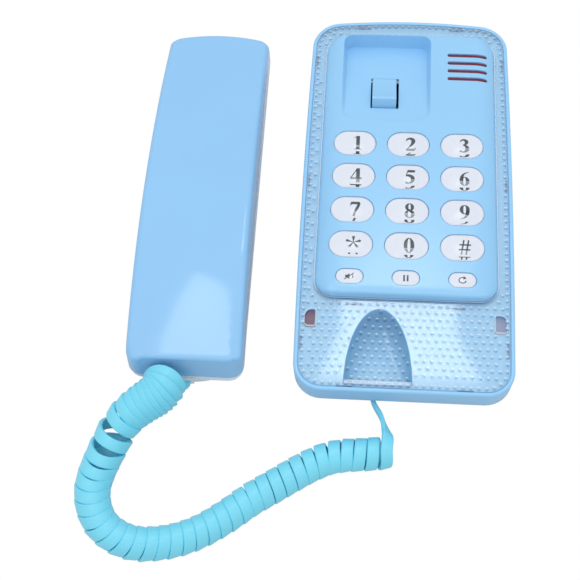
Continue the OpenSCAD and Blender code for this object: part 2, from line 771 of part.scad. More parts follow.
module base_screws() {
    color("#c9ccd0") translate([base_x, base_y, 0]) for (p = case_screws)
        translate([p[0], p[1], foot_h + 0.4]) {
            cylinder(r = head_r, h = head_t);
            cylinder(r = screw_r, h = boss_z + screw_bite - foot_h);
        }
}

module rubber_feet() {
    color("#2f3236") translate([base_x, base_y, 0]) for (p = foot_xy)
        translate([p[0], p[1], 0]) cylinder(r = foot_r, h = foot_h);
}

// Body of a clear key cap: flange, wall and domed top, hollow from below
module key_cap(w, h, top_z, in_top_z) {
    dome_r = w * 2.2;
    color("#e4eef6", 0.6) difference() {
        union() {
            translate([0, 0, under_z - 0.3 - flange_t]) linear_extrude(flange_t) pill(w + 2 * flange, h + 2 * flange);
            intersection() {
                translate([0, 0, under_z - 0.3 - flange_t]) linear_extrude(far / 8) pill(w, h);
                translate([0, 0, top_z - dome_r]) sphere(dome_r, $fn = 96);
            }
        }
        linear_extrude(in_top_z) pill(w - 2 * cap_wall, h - 2 * cap_wall);
    }
}

module key_insert(w, h, in_top_z) {
    color("#f4f6f8") {
        translate([0, 0, in_top_z - 1.2]) linear_extrude(1.2) pill(w - 2 * cap_wall, h - 2 * cap_wall);
        translate([0, 0, insert_z]) cylinder(r = 2, h = in_top_z - 1 - insert_z);
    }
}

module number_cap(i) {
    translate([base_x, base_y, 0]) translate(concat(key_xy(i), 0)) key_cap(key_w, key_h, key_top_z, insert_top_z);
}

module number_insert(i) {
    translate([base_x, base_y, 0]) translate(concat(key_xy(i), 0)) key_insert(key_w, key_h, insert_top_z);
}

module fn_cap(i) {
    translate([base_x, base_y, 0]) translate(concat(fn_xy(i), 0)) key_cap(fn_w, fn_h, fn_top_z, fn_insert_top_z);
}

module fn_insert(i) {
    translate([base_x, base_y, 0]) translate(concat(fn_xy(i), 0)) key_insert(fn_w, fn_h, fn_insert_top_z);
}

// Places a handset part, given in the handset's own frame, where the handset lies
module lay_handset() {
    translate([handset_x, handset_y, handset_z]) rotate([0, 0, -handset_turn]) rotate([lie, 0, 0]) children();
}

function arc(x, y, r, a0, a1, n) = [for (i = [0:n]) let (a = a0 + (a1 - a0) * i / n) [x + r * cos(a), y + r * sin(a)]];

// Outline of the handset, wider at the mouthpiece end, its far end swelling, with round corners
module handset_outline(inset = 0) {
    w0 = handset_w / 2 - inset;
    w1 = w0 - handset_taper / 2;
    y0 = -half_l + inset;
    r0 = max(handset_r - inset, 1);
    r1 = max(far_r - inset, 1);
    end_y = half_l - end_round;
    end_r = end_round - inset;
    rise = sqrt(pow(end_r - r1, 2) - pow(w1 - r1, 2));
    turn = atan(rise / (w1 - r1));
    polygon(concat(arc(w0 - r0, y0 + r0, r0, -90, 0, 8), arc(w1 - r1, end_y + rise, r1, 0, turn, 6),
        arc(0, end_y, end_r, turn + 2, 178 - turn, 14), arc(r1 - w1, end_y + rise, r1, 180 - turn, 180, 6),
        arc(r0 - w0, y0 + r0, r0, 180, 270, 8)));
}

// Everything under the arched back: its section, with round edges, turned about the arch's axis
module back_arch(inset = 0) {
    half = handset_w / 2 + edge_out - inset;
    top = back_arch_r - inset;
    r = back_edge_r - inset / 2;
    edge = [for (a = [0:15:90]) [top - r + r * sin(a), half - r + r * cos(a)]];
    section = concat([[back_arch_r / 2, half]], edge);
    translate([0, -back_peak, back_h - back_arch_r]) rotate([0, 90, 0]) rotate_extrude($fn = 256)
        polygon(concat(section, [for (i = [len(section) - 1:-1:0]) [section[i][0], -section[i][1]]]));
}

module handset_back_shell() {
    color("#9ccdf4") lay_handset() difference() {
        intersection() {
            linear_extrude(back_h + 1) handset_outline();
            back_arch();
        }
        translate([-handset_w, 0, 0]) rotate([90, 0, 90]) linear_extrude(2 * handset_w)
            corner_cut(-half_l + back_edge_r, mouth_top - back_edge_r, back_edge_r, -1, 1);
        difference() {
            intersection() {
                translate([0, 0, -1]) linear_extrude(back_h) handset_outline(wall + 0.4);
                back_arch(wall);
            }
            for (y = handset_screw_y) translate([0, y, 0.1]) cylinder(r = boss_r, h = back_h);
        }
        for (y = handset_screw_y) translate([0, y, -1]) cylinder(r = screw_r, h = 9);
    }
}

// Everything above the front shell's sloping face, raised by a wall thickness
module above_front(raise) {
    translate([0, -half_l, -front_h0 + raise]) rotate([-front_slope, 0, 0])
        translate([-far / 2, -far / 4, 0]) cube([far, far, far / 8]);
}

module above_block(raise) {
    translate([0, block_y0, -front_h0 - (block_y0 + half_l) * tan(front_slope)])
        rotate([-front_slope - block_dip, 0, 0]) translate([-far / 2, -far / 4, raise]) cube([far, far, far / 8]);
}

module block_outline(inset = 0) {
    translate([-block_w / 2 + inset, block_y0 + inset]) difference() {
        square([block_w - 2 * inset, block_l - 2 * inset]);
        corner_cut(4, block_l - 2 * inset - 4, 4, -1, 1);
        corner_cut(block_w - 2 * inset - 4, block_l - 2 * inset - 4, 4, 1, 1);
    }
}

module swell(shrink) {
    intersection() {
        translate([0, swell_y1, -front_h0 - (swell_y1 + half_l) * tan(front_slope)])
            rotate([swell_dip - front_slope, 0, 0]) translate([0, 40, swell_r]) rotate([90, 0, 0])
                cylinder(r = swell_r - shrink, h = 120, $fn = 180);
        translate([-far / 4, swell_y0 + shrink, -far / 8]) cube([far / 2, swell_l + 20, far / 8]);
    }
}

module handset_front_shell() {
    color("#d5e0ec") lay_handset() difference() {
        union() {
            intersection() {
                translate([0, 0, -far / 8]) linear_extrude(far / 8) handset_outline();
                above_front(0);
            }
            intersection() {
                translate([0, 0, -far / 8]) linear_extrude(far / 8 - 2) block_outline();
                above_block(0);
            }
            intersection() {
                swell(0);
                translate([0, 0, -far / 8]) linear_extrude(far / 8 - 1) handset_outline();
            }
        }
        difference() {
            intersection() {
                translate([0, 0, -far / 8]) linear_extrude(far / 4) handset_outline(wall + 0.4);
                above_front(wall);
            }
            for (y = handset_screw_y) translate([0, y, -far / 8]) cylinder(r = post_r, h = far / 8);
        }
        intersection() {
            translate([0, 0, -far / 8]) linear_extrude(far / 4) block_outline(wall);
            above_block(wall);
        }
        for (y = handset_screw_y) translate([0, y, -far / 8]) {
            cylinder(r = screw_r + 0.2, h = far / 4);
            cylinder(r = head_r + 0.3, h = far / 8 - screw_seat);
        }
        translate([0, mic_y, handset_jack_z + 2.4]) cylinder(r = mic_r + 1.6, h = far / 8);
        translate([0, mic_y, -far / 8]) cylinder(r = 0.8, h = far / 8);
        translate([-jack_w / 2 - 0.1, -half_l - 1, handset_jack_z - 0.1]) cube([jack_w + 0.2, jack_l + 1.1, far / 8]);
        for (a = [0:60:300]) translate([5 * cos(a), receiver_y + 5 * sin(a), -far / 8]) cylinder(r = 0.9, h = far / 8);
        translate([0, receiver_y, -far / 8]) cylinder(r = 0.9, h = far / 8);
    }
}

module earpiece_receiver() {
    color("#4a4d52") lay_handset()
        translate([0, block_y0, -front_h0 - (block_y0 + half_l) * tan(front_slope)])
            rotate([-front_slope - block_dip, 0, 0]) translate([0, receiver_y - block_y0, wall + 0.05])
                cylinder(r = receiver_r, h = receiver_t);
}

module microphone() {
    color("#9ea3a8") lay_handset() translate([0, mic_y, handset_jack_z + 3.5]) cylinder(r = mic_r, h = mic_t);
}

module microphone_boot() {
    color("#33363a") lay_handset() translate([0, mic_y, handset_jack_z + 2.45]) difference() {
        cylinder(r = mic_r + 1.5, h = 1 + mic_t);
        translate([0, 0, 1.05]) cylinder(r = mic_r, h = mic_t + 1);
        translate([0, 0, -1]) cylinder(r = 1, h = 4);
    }
}

module handset_weight() {
    color("#8c9096") lay_handset() translate([0, weight_y0, -front_h0 - (weight_y0 + half_l) * tan(front_slope)])
        rotate([-front_slope, 0, 0]) translate([-weight_w / 2, 0, wall + 0.02]) cube([weight_w, weight_l, weight_t]);
}

module handset_screws() {
    color("#c9ccd0") lay_handset() for (y = handset_screw_y)
        translate([0, y, -screw_seat - head_t]) {
            cylinder(r = head_r, h = head_t);
            cylinder(r = screw_r, h = head_t + screw_seat + 7);
        }
}

module handset_jack() {
    color("#5d6066") lay_handset() translate([0, -half_l + 0.6, handset_jack_z])
        jack(jack_w, jack_h, jack_l - 1, plug_w + 2 * plug_fit, plug_h + 2 * plug_fit, plug_l - plug_back);
}

module plug() {
    translate([-plug_w / 2, -plug_back, -plug_h / 2]) cube([plug_w, plug_l - 0.2, plug_h]);
}

module handset_plug() {
    color("#d9dde0", 0.7) lay_handset() translate([0, -half_l + 0.6, handset_jack_z + jack_h / 2]) plug();
}

module base_plug() {
    color("#d9dde0", 0.7) translate([base_x - jack_off, base_y + tub_y0, jack_z + jack_h / 2]) plug();
}

module curly_cord() {
    color("#6fcbe4") tube(COIL_PATH, coil_d / 2, 12, [0, 0, 1], start_grow);
}

module base_cord_lead() {
    color("#6fcbe4") tube(BASE_LEAD_PATH, cord_t / 2 + 0.6, 8);
}

module handset_cord_lead() {
    color("#6fcbe4") tube(HANDSET_LEAD_PATH, cord_t / 2 + 0.6, 8);
}

upper_shell();
lower_shell();
clear_cover();
hook_lever();
hook_pivot_pin();
hook_spring();
hook_switch();
main_board();
board_screws();
keypad_mat();
ringer_disc();
base_jack();
line_jack();
base_screws();
rubber_feet();
for (i = [0:11]) {
    number_cap(i);
    number_insert(i);
}
for (i = [0:2]) {
    fn_cap(i);
    fn_insert(i);
}
handset_back_shell();
handset_front_shell();
earpiece_receiver();
microphone();
microphone_boot();
handset_weight();
handset_screws();
handset_jack();
handset_plug();
handset_cord_lead();
curly_cord();
base_cord_lead();
base_plug();
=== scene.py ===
import bpy
import bmesh
import math
import numpy as np
from mathutils import Matrix, Vector
from mathutils.geometry import delaunay_2d_cdt


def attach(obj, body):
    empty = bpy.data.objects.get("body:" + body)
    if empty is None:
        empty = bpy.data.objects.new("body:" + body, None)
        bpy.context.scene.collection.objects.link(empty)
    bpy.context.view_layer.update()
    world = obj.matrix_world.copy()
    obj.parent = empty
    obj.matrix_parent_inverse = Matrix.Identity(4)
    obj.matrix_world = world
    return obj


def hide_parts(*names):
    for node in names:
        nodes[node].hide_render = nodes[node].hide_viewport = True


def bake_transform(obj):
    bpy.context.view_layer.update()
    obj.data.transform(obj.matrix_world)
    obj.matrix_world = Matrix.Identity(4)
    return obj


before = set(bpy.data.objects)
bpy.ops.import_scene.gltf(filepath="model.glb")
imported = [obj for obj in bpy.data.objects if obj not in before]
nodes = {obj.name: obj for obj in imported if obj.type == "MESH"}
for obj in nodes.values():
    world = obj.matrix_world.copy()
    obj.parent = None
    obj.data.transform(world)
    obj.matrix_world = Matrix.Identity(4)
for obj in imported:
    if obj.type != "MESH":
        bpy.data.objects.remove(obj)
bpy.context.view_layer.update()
mm = 0.001

# places on the table in mm: the base's middle, and the handset with its tilt about X and its turn about Z
basePlace = np.array([36.611, -1.7, 0.0])
handsetPlace = {"at": np.array([-58.8, 2.2, 11.109]),
                "lie": math.radians(1.188), "turn": math.radians(-0.36)}


def onBase(points):
    # moves points of the base to its place
    return points + basePlace


def onHandset(points):
    # tips the handset frame about X, turns it about Z, then moves it to its place
    lie, turn = handsetPlace["lie"], handsetPlace["turn"]
    x, y, z = points.T
    y, z = y * math.cos(lie) - z * math.sin(lie), y * math.sin(lie) + z * math.cos(lie)
    x, y = x * math.cos(turn) - y * math.sin(turn), x * math.sin(turn) + y * math.cos(turn)
    return np.stack([x, y, z], 1) + handsetPlace["at"]


def unit(v):
    # each vector over its length
    return v / np.maximum(np.linalg.norm(v, axis=-1, keepdims=True), 1e-9)


def smooth(t):
    # soft step from 0 to 1: t^2 (3 - 2 t)
    t = np.clip(t, 0, 1)
    return t * t * (3 - 2 * t)


def makeMesh(name, points, faceSets, finish, body=None, replaces=()):
    # points in mm; faceSets is a list of index arrays, one row for each face
    mesh = bpy.data.meshes.new(name)
    mesh.vertices.add(len(points))
    mesh.vertices.foreach_set("co", (points * mm).astype(np.float32).ravel())
    faceSets = [np.asarray(f, np.int32) for f in faceSets if len(f)]
    indices = np.concatenate([f.ravel() for f in faceSets])
    sizes = np.concatenate([np.full(len(f), f.shape[1]) for f in faceSets])
    mesh.loops.add(len(indices))
    mesh.loops.foreach_set("vertex_index", indices)
    mesh.polygons.add(len(sizes))
    mesh.polygons.foreach_set("loop_start", np.concatenate([[0], np.cumsum(sizes)[:-1]]).astype(np.int32))
    mesh.update(calc_edges=True)
    mesh.validate()
    mesh.shade_smooth()
    mesh.materials.append(finish)
    piece = bpy.data.objects.new(name, mesh)
    bpy.context.scene.collection.objects.link(piece)
    if body:
        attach(piece, body)
    if replaces:
        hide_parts(*replaces)
    return piece


def gridFaces(rows, columns, closed=False):
    # quads of a rows by columns grid; closed joins the last column to the first
    r, c = np.meshgrid(np.arange(rows - 1), np.arange(columns if closed else columns - 1), indexing="ij")
    r, c = r.ravel(), c.ravel()
    n = (c + 1) % columns
    return np.stack([r * columns + c, r * columns + n, (r + 1) * columns + n, (r + 1) * columns + c], 1)


def distanceAlong(points):
    # how far each point is from the first one, along the line through them all
    return np.concatenate([[0], np.cumsum(np.linalg.norm(np.diff(points, axis=0), axis=1))])


def pointsAt(wanted, along, points):
    # the points at the wanted distances, on straight lines between the given ones
    return np.stack([np.interp(wanted, along, points[:, k]) for k in range(points.shape[1])], 1)


def evenCurve(points, spacing):
    # Catmull-Rom through the points, then points an even distance apart
    points = np.asarray(points, float)
    p = np.vstack([2 * points[0] - points[1], points, 2 * points[-1] - points[-2]])
    a, b, c, d = (q[:, None] for q in (p[:-3], p[1:-2], p[2:-1], p[3:]))
    t = np.linspace(0, 1, 24, endpoint=False)[None, :, None]
    squared, cubed = (2 * a - 5 * b + 4 * c - d) * t ** 2, (3 * b - a - 3 * c + d) * t ** 3
    curve = 0.5 * (2 * b + (c - a) * t + squared + cubed)
    curve = np.vstack([curve.reshape(-1, points.shape[1]), points[-1:]])
    along = distanceAlong(curve)
    count = max(int(round(along[-1] / spacing)), 2) + 1
    return pointsAt(np.linspace(0, along[-1], count), along, curve)


def surfaceNormals(height, xy):
    # normals (-dz/dx, -dz/dy, 1) of the surface z = height(xy), from differences h to each side
    h = 0.05
    dx = (height(xy + [h, 0]) - height(xy - [h, 0])) / (2 * h)
    dy = (height(xy + [0, h]) - height(xy - [0, h])) / (2 * h)
    return unit(np.stack([-dx, -dy, np.ones(len(dx))], 1))


# what the mouldings share, in mm from the base's middle on the table
base = {"width": 94.0, "length": 191.8, "sideBulge": 1.2, "endBulge": 3.4, "corner": 12.0,
        "rim": 24.0, "rimWidth": 1.8, "wallBottom": 12.0,
        "cover": 23.7, "coverThick": 1.6, "shelf": 21.95, "slip": 0.15}
panel = {"left": -39.9, "right": 40.5, "near": -52.1, "far": 87.3, "middle": 0.3, "bulge": 1.2,
         "corner": 8.0, "top": 28.5, "crown": 0.3, "shoulder": (9.5, 4.3), "endShoulder": (1.3, 1.3)}
cradle = {"left": -32.2, "right": 10.3, "near": 36.9, "far": 87.3, "corner": 4.5, "nearCorner": 6.5,
          "run": 2.1, "slope": 7.5 / 48.5}
trough = {"x": -10.9, "near": -91.9, "radius": 14.65, "dip": math.radians(25.0), "depth": 5.4,
          "fullness": 3.4, "endLean": 0.9}
keys = {"pitchX": 24.7, "pitchY": 17.64, "row": -28.14, "size": (19.6, 13.1), "gap": 0.2, "top": 30.0,
        "insert": 28.1, "smallRow": -44.0, "smallSize": (12.2, 7.3), "smallTop": 29.5, "smallInsert": 28.1,
        "seat": 25.2}


class Skin:
    # surfaces of one piece, gathered and then joined into a mesh
    def __init__(self):
        self.points, self.faces, self.count = [], [], 0

    def add(self, points, faceSets, flip=False):
        for faces in faceSets:
            faces = np.asarray(faces, int) + self.count
            self.faces.append(faces[:, ::-1] if flip else faces)
        self.points.append(points)
        self.count += len(points)

    def build(self, name, finish, body, slot, replaces=(), sharp=None, place=onBase, weld=0.004):
        # moves the surfaces to their place and closes their seams; edges over the sharp angle stay sharp
        piece = makeMesh(name, place(np.vstack(self.points)), self.faces, finish, body, replaces)
        work = bmesh.new()
        work.from_mesh(piece.data)
        bmesh.ops.remove_doubles(work, verts=work.verts, dist=weld * mm)
        work.to_mesh(piece.data)
        work.free()
        piece.data.shade_smooth()
        if sharp:
            piece.data.set_sharp_from_angle(angle=math.radians(sharp))


def corners(x0, x1, y0, y1, r, steps=14):
    # rounded rectangle, anticlockwise; r is one radius or four from the lower right corner round
    r = np.broadcast_to(r, 4)
    a = [np.radians(np.linspace(q - 90, q, steps)) for q in (0, 90, 180, 270)]
    x = [x1 - r[0], x1 - r[1], x0 + r[2], x0 + r[3]]
    y = [y0 + r[0], y1 - r[1], y1 - r[2], y0 + r[3]]
    arcs = [(x[k] + r[k] * np.cos(a[k]), y[k] + r[k] * np.sin(a[k])) for k in range(4)]
    return np.vstack([np.stack(arc, 1) for arc in arcs])


def evenLoop(points, spacing):
    # points an even distance apart along a closed line
    ring = np.vstack([points, points[:1]])
    along = distanceAlong(ring)
    even = np.linspace(0, along[-1], int(round(along[-1] / spacing)), endpoint=False)
    return pointsAt(even, along, ring)


def inward(loop):
    # unit normals to the left of an anticlockwise loop
    t = unit(np.roll(loop, -1, 0) - np.roll(loop, 1, 0))
    return np.stack([-t[:, 1], t[:, 0]], 1)


def inset(loop, distance):
    # the loop moved along its inward normals
    return loop + inward(loop) * np.reshape(distance, (-1, 1))


def sideSwell(y):
    # how far the base's long sides swell: side * (1 - (y / L)^2)
    return base["sideBulge"] * (1 - (y / (base["length"] / 2 + base["endBulge"])) ** 2)


def endSwell(x):
    # how far its far end swells: end * (1 - (x / w)^2)
    return base["endBulge"] * (1 - (x / (base["width"] / 2)) ** 2)


def baseLoop():
    # rounded rectangle with its sides and its far end swelled
    w, length = base["width"] / 2, base["length"] / 2
    x, y = evenLoop(corners(-w, w, -length, length, base["corner"]), 1.5).T
    return np.stack([x + sideSwell(y) * x / w, y + endSwell(x) * smooth(y / length)], 1)


def panelLoop(spacing=1.2):
    # rounded rectangle whose far end swells as bulge * (1 - (x / w)^2)
    x0, x1, y0, y1 = (panel[k] for k in ("left", "right", "near", "far"))
    x, y = evenLoop(corners(x0, x1, y0, y1, panel["corner"]), spacing).T
    across = (x - panel["middle"]) / (x1 - panel["middle"])
    return np.stack([x, y + panel["bulge"] * (1 - across ** 2) * smooth(y / y1)], 1)


def pillLoop(at, size, grow, spacing=0.7):
    # pill of the given size, its ends half circles
    w, h = size[0] / 2 + grow, size[1] / 2 + grow
    return evenLoop(corners(at[0] - w, at[0] + w, at[1] - h, at[1] + h, h - 0.001, 16), spacing)


def cradleLoop():
    # the recess's mouth, with larger corners at its near end
    x0, x1, y0, y1, r, near = (cradle[k] for k in ("left", "right", "near", "far", "corner", "nearCorner"))
    return evenLoop(corners(x0, x1, y0, y1, [near, r, r, near]), 0.9)


def anticlockwise(loop):
    # the loop, turned round where its area x dy - y dx is below 0
    x, y = loop.T
    return loop if (x * np.roll(y, -1) - y * np.roll(x, -1)).sum() > 0 else loop[::-1]


def flat(z):
    # the same height everywhere
    return lambda xy: np.full(len(xy), float(z))


def raised(xy, z):
    # the flat points with their heights
    return np.column_stack([xy, np.broadcast_to(z, len(xy))])


def strip(skin, loop, profile, flip=False):
    # profile: for each row, an inset along the loop's normal and a height, each one number or one per point
    rows = [raised(inset(loop, np.broadcast_to(d, len(loop))), z) for d, z in profile]
    skin.add(np.vstack(rows), [gridFaces(len(rows), len(loop), True)], flip)


def plate(skin, outer, holes, height, spacing):
    # flat or softly curved sheet inside the outer loop and outside the holes, triangulated with inner points
    loops = [anticlockwise(loop) for loop in [outer] + list(holes)]
    low, high = outer.min(0), outer.max(0)
    x, y = np.meshgrid(np.arange(low[0] + spacing / 2, high[0], spacing),
                       np.arange(low[1] + spacing / 2, high[1], spacing), indexing="ij")
    x[:, ::2] += spacing / 2
    inner = np.stack([x.ravel(), y.ravel()], 1)
    edge = np.vstack(loops)
    # inner points keep about half a spacing from the edges
    fromEdge = ((edge[None] - inner[:, None]) ** 2).sum(2).min(1)
    inner = inner[fromEdge > (0.55 * spacing) ** 2]
    starts = np.cumsum([0] + [len(loop) for loop in loops])
    rings = [list(range(a, b)) for a, b in zip(starts[:-1], starts[1:])]
    spots = [Vector(p) for p in np.vstack([edge, inner])]
    points, _, faces, _, _, origins = delaunay_2d_cdt(spots, [], rings, 0, 1e-6)
    faces = np.array([f for f, o in zip(faces, origins) if o == [0]])
    points = np.array(points)
    skin.add(raised(points, height(points)), [faces])


def dome(skin, loop, foot, height, radius, steps, lean=0.0):
    # wall from the foot rows up, leaning in, then a round shoulder: with a from 0 to 90 degrees, it is inset
    # radius * (1 - cos a) and radius * (1 - sin a) below the top; returns the loop where the top begins
    rows = list(foot)
    for a in np.linspace(0, math.pi / 2, steps):
        d = lean + radius * (1 - math.cos(a))
        rows.append((d, height(inset(loop, d)) - radius * (1 - math.sin(a))))
    strip(skin, loop, rows)
    return inset(loop, lean + radius)


class Wire:
    # an output of a node; + - and * on it add Math nodes
    def __init__(self, finish, socket):
        self.finish, self.socket = finish, socket

    def math(self, operation, first, second):
        return self.finish.node("Math", {"operation": operation}, {0: first, 1: second})

    def __add__(self, other):
        return self.math("ADD", self, other)

    def __radd__(self, other):
        return self.math("ADD", other, self)

    def __sub__(self, other):
        return self.math("SUBTRACT", self, other)

    def __rsub__(self, other):
        return self.math("SUBTRACT", other, self)

    def __mul__(self, other):
        return self.math("MULTIPLY", self, other)

    def __rmul__(self, other):
        return self.math("MULTIPLY", other, self)


# numbers of the Texture Coordinate node's outputs
generated, normalOf, objectPlace = 0, 1, 3


class Finish:
    # a material, or another thing with a node tree, whose nodes are made one by one
    def __init__(self, name, holder=None):
        self.material = holder or bpy.data.materials.new(name)
        self.material.use_nodes = True
        self.tree = self.material.node_tree
        self.tree.nodes.clear()

    def node(self, kind, settings=None, sockets=None, output=0):
        # settings first, then the values or links of the node's sockets
        node = self.tree.nodes.new("ShaderNode" + kind)
        for key, value in (settings or {}).items():
            setattr(node, key, value)
        for key, value in (sockets or {}).items():
            if isinstance(value, Wire):
                self.tree.links.new(value.socket, node.inputs[key])
            else:
                node.inputs[key].default_value = value
        return Wire(self, node.outputs[output])

    def noise(self, scale, detail=2.0):
        place = self.node("TexCoord", output=objectPlace)
        return self.node("TexNoise", {}, {"Vector": place, "Scale": scale, "Detail": detail})

    def mixColour(self, factor, first, second):
        # the Mix node's colours are its inputs 6 and 7 and its output 2
        return self.node("Mix", {"data_type": "RGBA"}, {0: factor, 6: first, 7: second}, 2)

    def finishWith(self, shader, kind="OutputMaterial"):
        out = self.tree.nodes.new("ShaderNode" + kind)
        self.tree.links.new(shader.socket, out.inputs["Surface"])
        return self.material


def rgb(r, g, b):
    # an sRGB colour of 0 to 255 as the linear one that a shader takes
    s = np.array([r, g, b]) / 255
    s = np.where(s <= 0.04045, s / 12.92, ((s + 0.055) / 1.055) ** 2.4)
    return (float(s[0]), float(s[1]), float(s[2]), 1.0)


def shade(colour, k):
    # the colour made lighter or darker
    return (colour[0] * k, colour[1] * k, colour[2] * k, 1.0)


plasticSkin = {"cloudScale": 28, "glossScale": 90, "glossSpread": 0.04, "bumpDepth": 0.0002, "ior": 1.49}


def plastic(name, colour, rough, bump=0.04, grain=1400, spread=0.03):
    # moulded plastic: faint clouds of colour, a little uneven gloss and a fine moulded skin
    f = Finish(name)
    cloud = f.noise(plasticSkin["cloudScale"], 3)
    skin = f.noise(grain)
    tone = f.mixColour(cloud, shade(colour, 1 - spread), shade(colour, 1 + spread))
    gloss = rough + (f.noise(plasticSkin["glossScale"], 3) - 0.5) * plasticSkin["glossSpread"]
    normal = f.node("Bump", {}, {"Strength": bump, "Distance": plasticSkin["bumpDepth"], "Height": skin})
    return f.finishWith(f.node("BsdfPrincipled", {}, {
        "Base Color": tone, "Roughness": gloss, "Normal": normal, "IOR": plasticSkin["ior"]}))


def metal(name, colour, rough):
    # bare metal, a little darker and smoother in spots
    f = Finish(name)
    worn = f.noise(300, 4)
    return f.finishWith(f.node("BsdfPrincipled", {}, {
        "Base Color": f.mixColour(worn, shade(colour, 0.85), colour), "Metallic": 1.0,
        "Roughness": rough + worn * 0.15}))


def sheet(name, tint, hazeAndSheen, gloss, mirrored=0.9, paintedSheen=0.0, paintedShade=0.0):
    # thin clear moulding: what is behind shows through its tint, with a little haze and a sharp reflection;
    # slopes that face the far side may get a painted sheen of more whitish haze, and those that face the
    # near side a painted shade, a darker tint
    f = Finish(name)
    through = f.node("BsdfTransparent", {}, {"Color": tint})
    if paintedSheen or paintedShade:
        # painted sheen and painted shade: the haze and the tint follow which way the surface faces
        farFacing = f.node("SeparateXYZ", {}, {0: f.node("TexCoord", output=normalOf)}, 1)
        shadeTint = f.node("BsdfTransparent", {}, {"Color": (0.58, 0.7, 0.82, 1)})
        shadeWeight = f.node("Math", {"operation": "MULTIPLY", "use_clamp": True}, {0: farFacing, 1: -paintedShade})
        through = f.node("MixShader", {}, {0: shadeWeight, 1: through, 2: shadeTint})
        hazeAndSheen = f.node("Math", {"operation": "ADD", "use_clamp": True}, {0: farFacing * paintedSheen, 1: hazeAndSheen})
    cloudy = f.node("BsdfDiffuse", {}, {"Color": (0.78, 0.9, 1.0, 1)})
    body = f.node("MixShader", {}, {0: hazeAndSheen, 1: through, 2: cloudy})
    mirror = f.node("BsdfGlossy", {}, {"Color": (1, 1, 1, 1), "Roughness": gloss})
    bend = f.node("LayerWeight", {}, {"Blend": 0.32})
    return f.finishWith(f.node("MixShader", {}, {0: bend * mirrored + 0.02, 1: body, 2: mirror}))


finishes = {
    "base": plastic("baseBlue", rgb(154, 210, 250), 0.2),
    # the shelf is the base's blue plastic painted lighter: painted light that makes up for the light the
    # clear cover over it takes
    "shelf": plastic("shelfBluePaintedLighter", rgb(184, 230, 255), 0.35),
    "handset": plastic("handsetBlue", rgb(150, 205, 248), 0.07, bump=0.01),
    "strip": plastic("frostedStrip", rgb(244, 250, 255), 0.45, bump=0.08),
    "cord": plastic("cordBlue", rgb(128, 225, 248), 0.3, bump=0.03, grain=600, spread=0.05),
    "key": plastic("keyWhite", rgb(239, 242, 248), 0.5, bump=0.02),
    "ink": plastic("printedInk", rgb(44, 52, 60), 0.5, bump=0.0),
    "board": plastic("boardRed", rgb(142, 112, 130), 0.4, bump=0.05, grain=500, spread=0.15),
    "black": plastic("blackPlastic", rgb(40, 42, 46), 0.4),
    "grey": plastic("greyPlastic", rgb(92, 96, 102), 0.45),
    "mat": plastic("siliconeMat", rgb(215, 212, 200), 0.6),
    "rubber": plastic("footRubber", rgb(46, 48, 52), 0.8, bump=0.2),
    "steel": metal("screwSteel", rgb(190, 192, 196), 0.3),
    "weight": metal("weightSteel", rgb(150, 152, 156), 0.4),
    "brass": metal("discBrass", rgb(205, 170, 100), 0.3),
    "felt": plastic("redFelt", rgb(128, 52, 64), 0.9, bump=0.3, grain=900, spread=0.2),
    "clip": plastic("clipGrey", rgb(168, 172, 198), 0.4),
    # paler ink for the numbers' feet: a painted reflection of the light on the caps
    "paintedReflectionInk": plastic("paintedReflectionInk", rgb(138, 144, 150), 0.5, bump=0.0),
    "cap": sheet("clearCap", (0.98, 0.985, 1.0, 1), hazeAndSheen=0.02, gloss=0.2, mirrored=0.3),
    # the cover's pips and scoop get a painted sheen on slopes facing the far side and a painted shade on
    # those facing the near side
    "cover": sheet("clearCover", (0.97, 0.99, 1.0, 1), hazeAndSheen=0.12, gloss=0.055, mirrored=0.6,
                   paintedSheen=1.5, paintedShade=1.6),
    # clear edges: their whitish haze is a painted glint, for the light that cut edges of clear plastic catch
    "edge": sheet("clearEdge", (0.95, 0.96, 1.0, 1), hazeAndSheen=0.55, gloss=0.1),
    "plug": sheet("clearPlug", (0.9, 0.94, 1.0, 1), hazeAndSheen=0.75, gloss=0.1),
}
print("materials made")

# camera, in mm, with the lens as a focal length in pixels of the frame
view = {"at": (16.17, -255.94, 464.35), "right": (0.9973, 0.0610, -0.0402), "up": (-0.0384, 0.9055, 0.4227),
        "back": (0.0622, -0.4200, 0.9054), "focalPixels": 1100.0, "framePixels": 580.0, "sensor": 36.0}
camera = bpy.data.objects.new("camera", bpy.data.cameras.new("camera"))
camera.data.sensor_width = view["sensor"]
camera.data.lens = view["focalPixels"] / view["framePixels"] * view["sensor"]
camera.data.clip_start = 0.01
turned = np.eye(4)
turned[:3, 0], turned[:3, 1], turned[:3, 2] = view["right"], view["up"], view["back"]
turned[:3, 3] = np.array(view["at"]) * mm
camera.matrix_world = Matrix(turned.tolist())
bpy.context.scene.collection.objects.link(camera)
bpy.context.scene.camera = camera

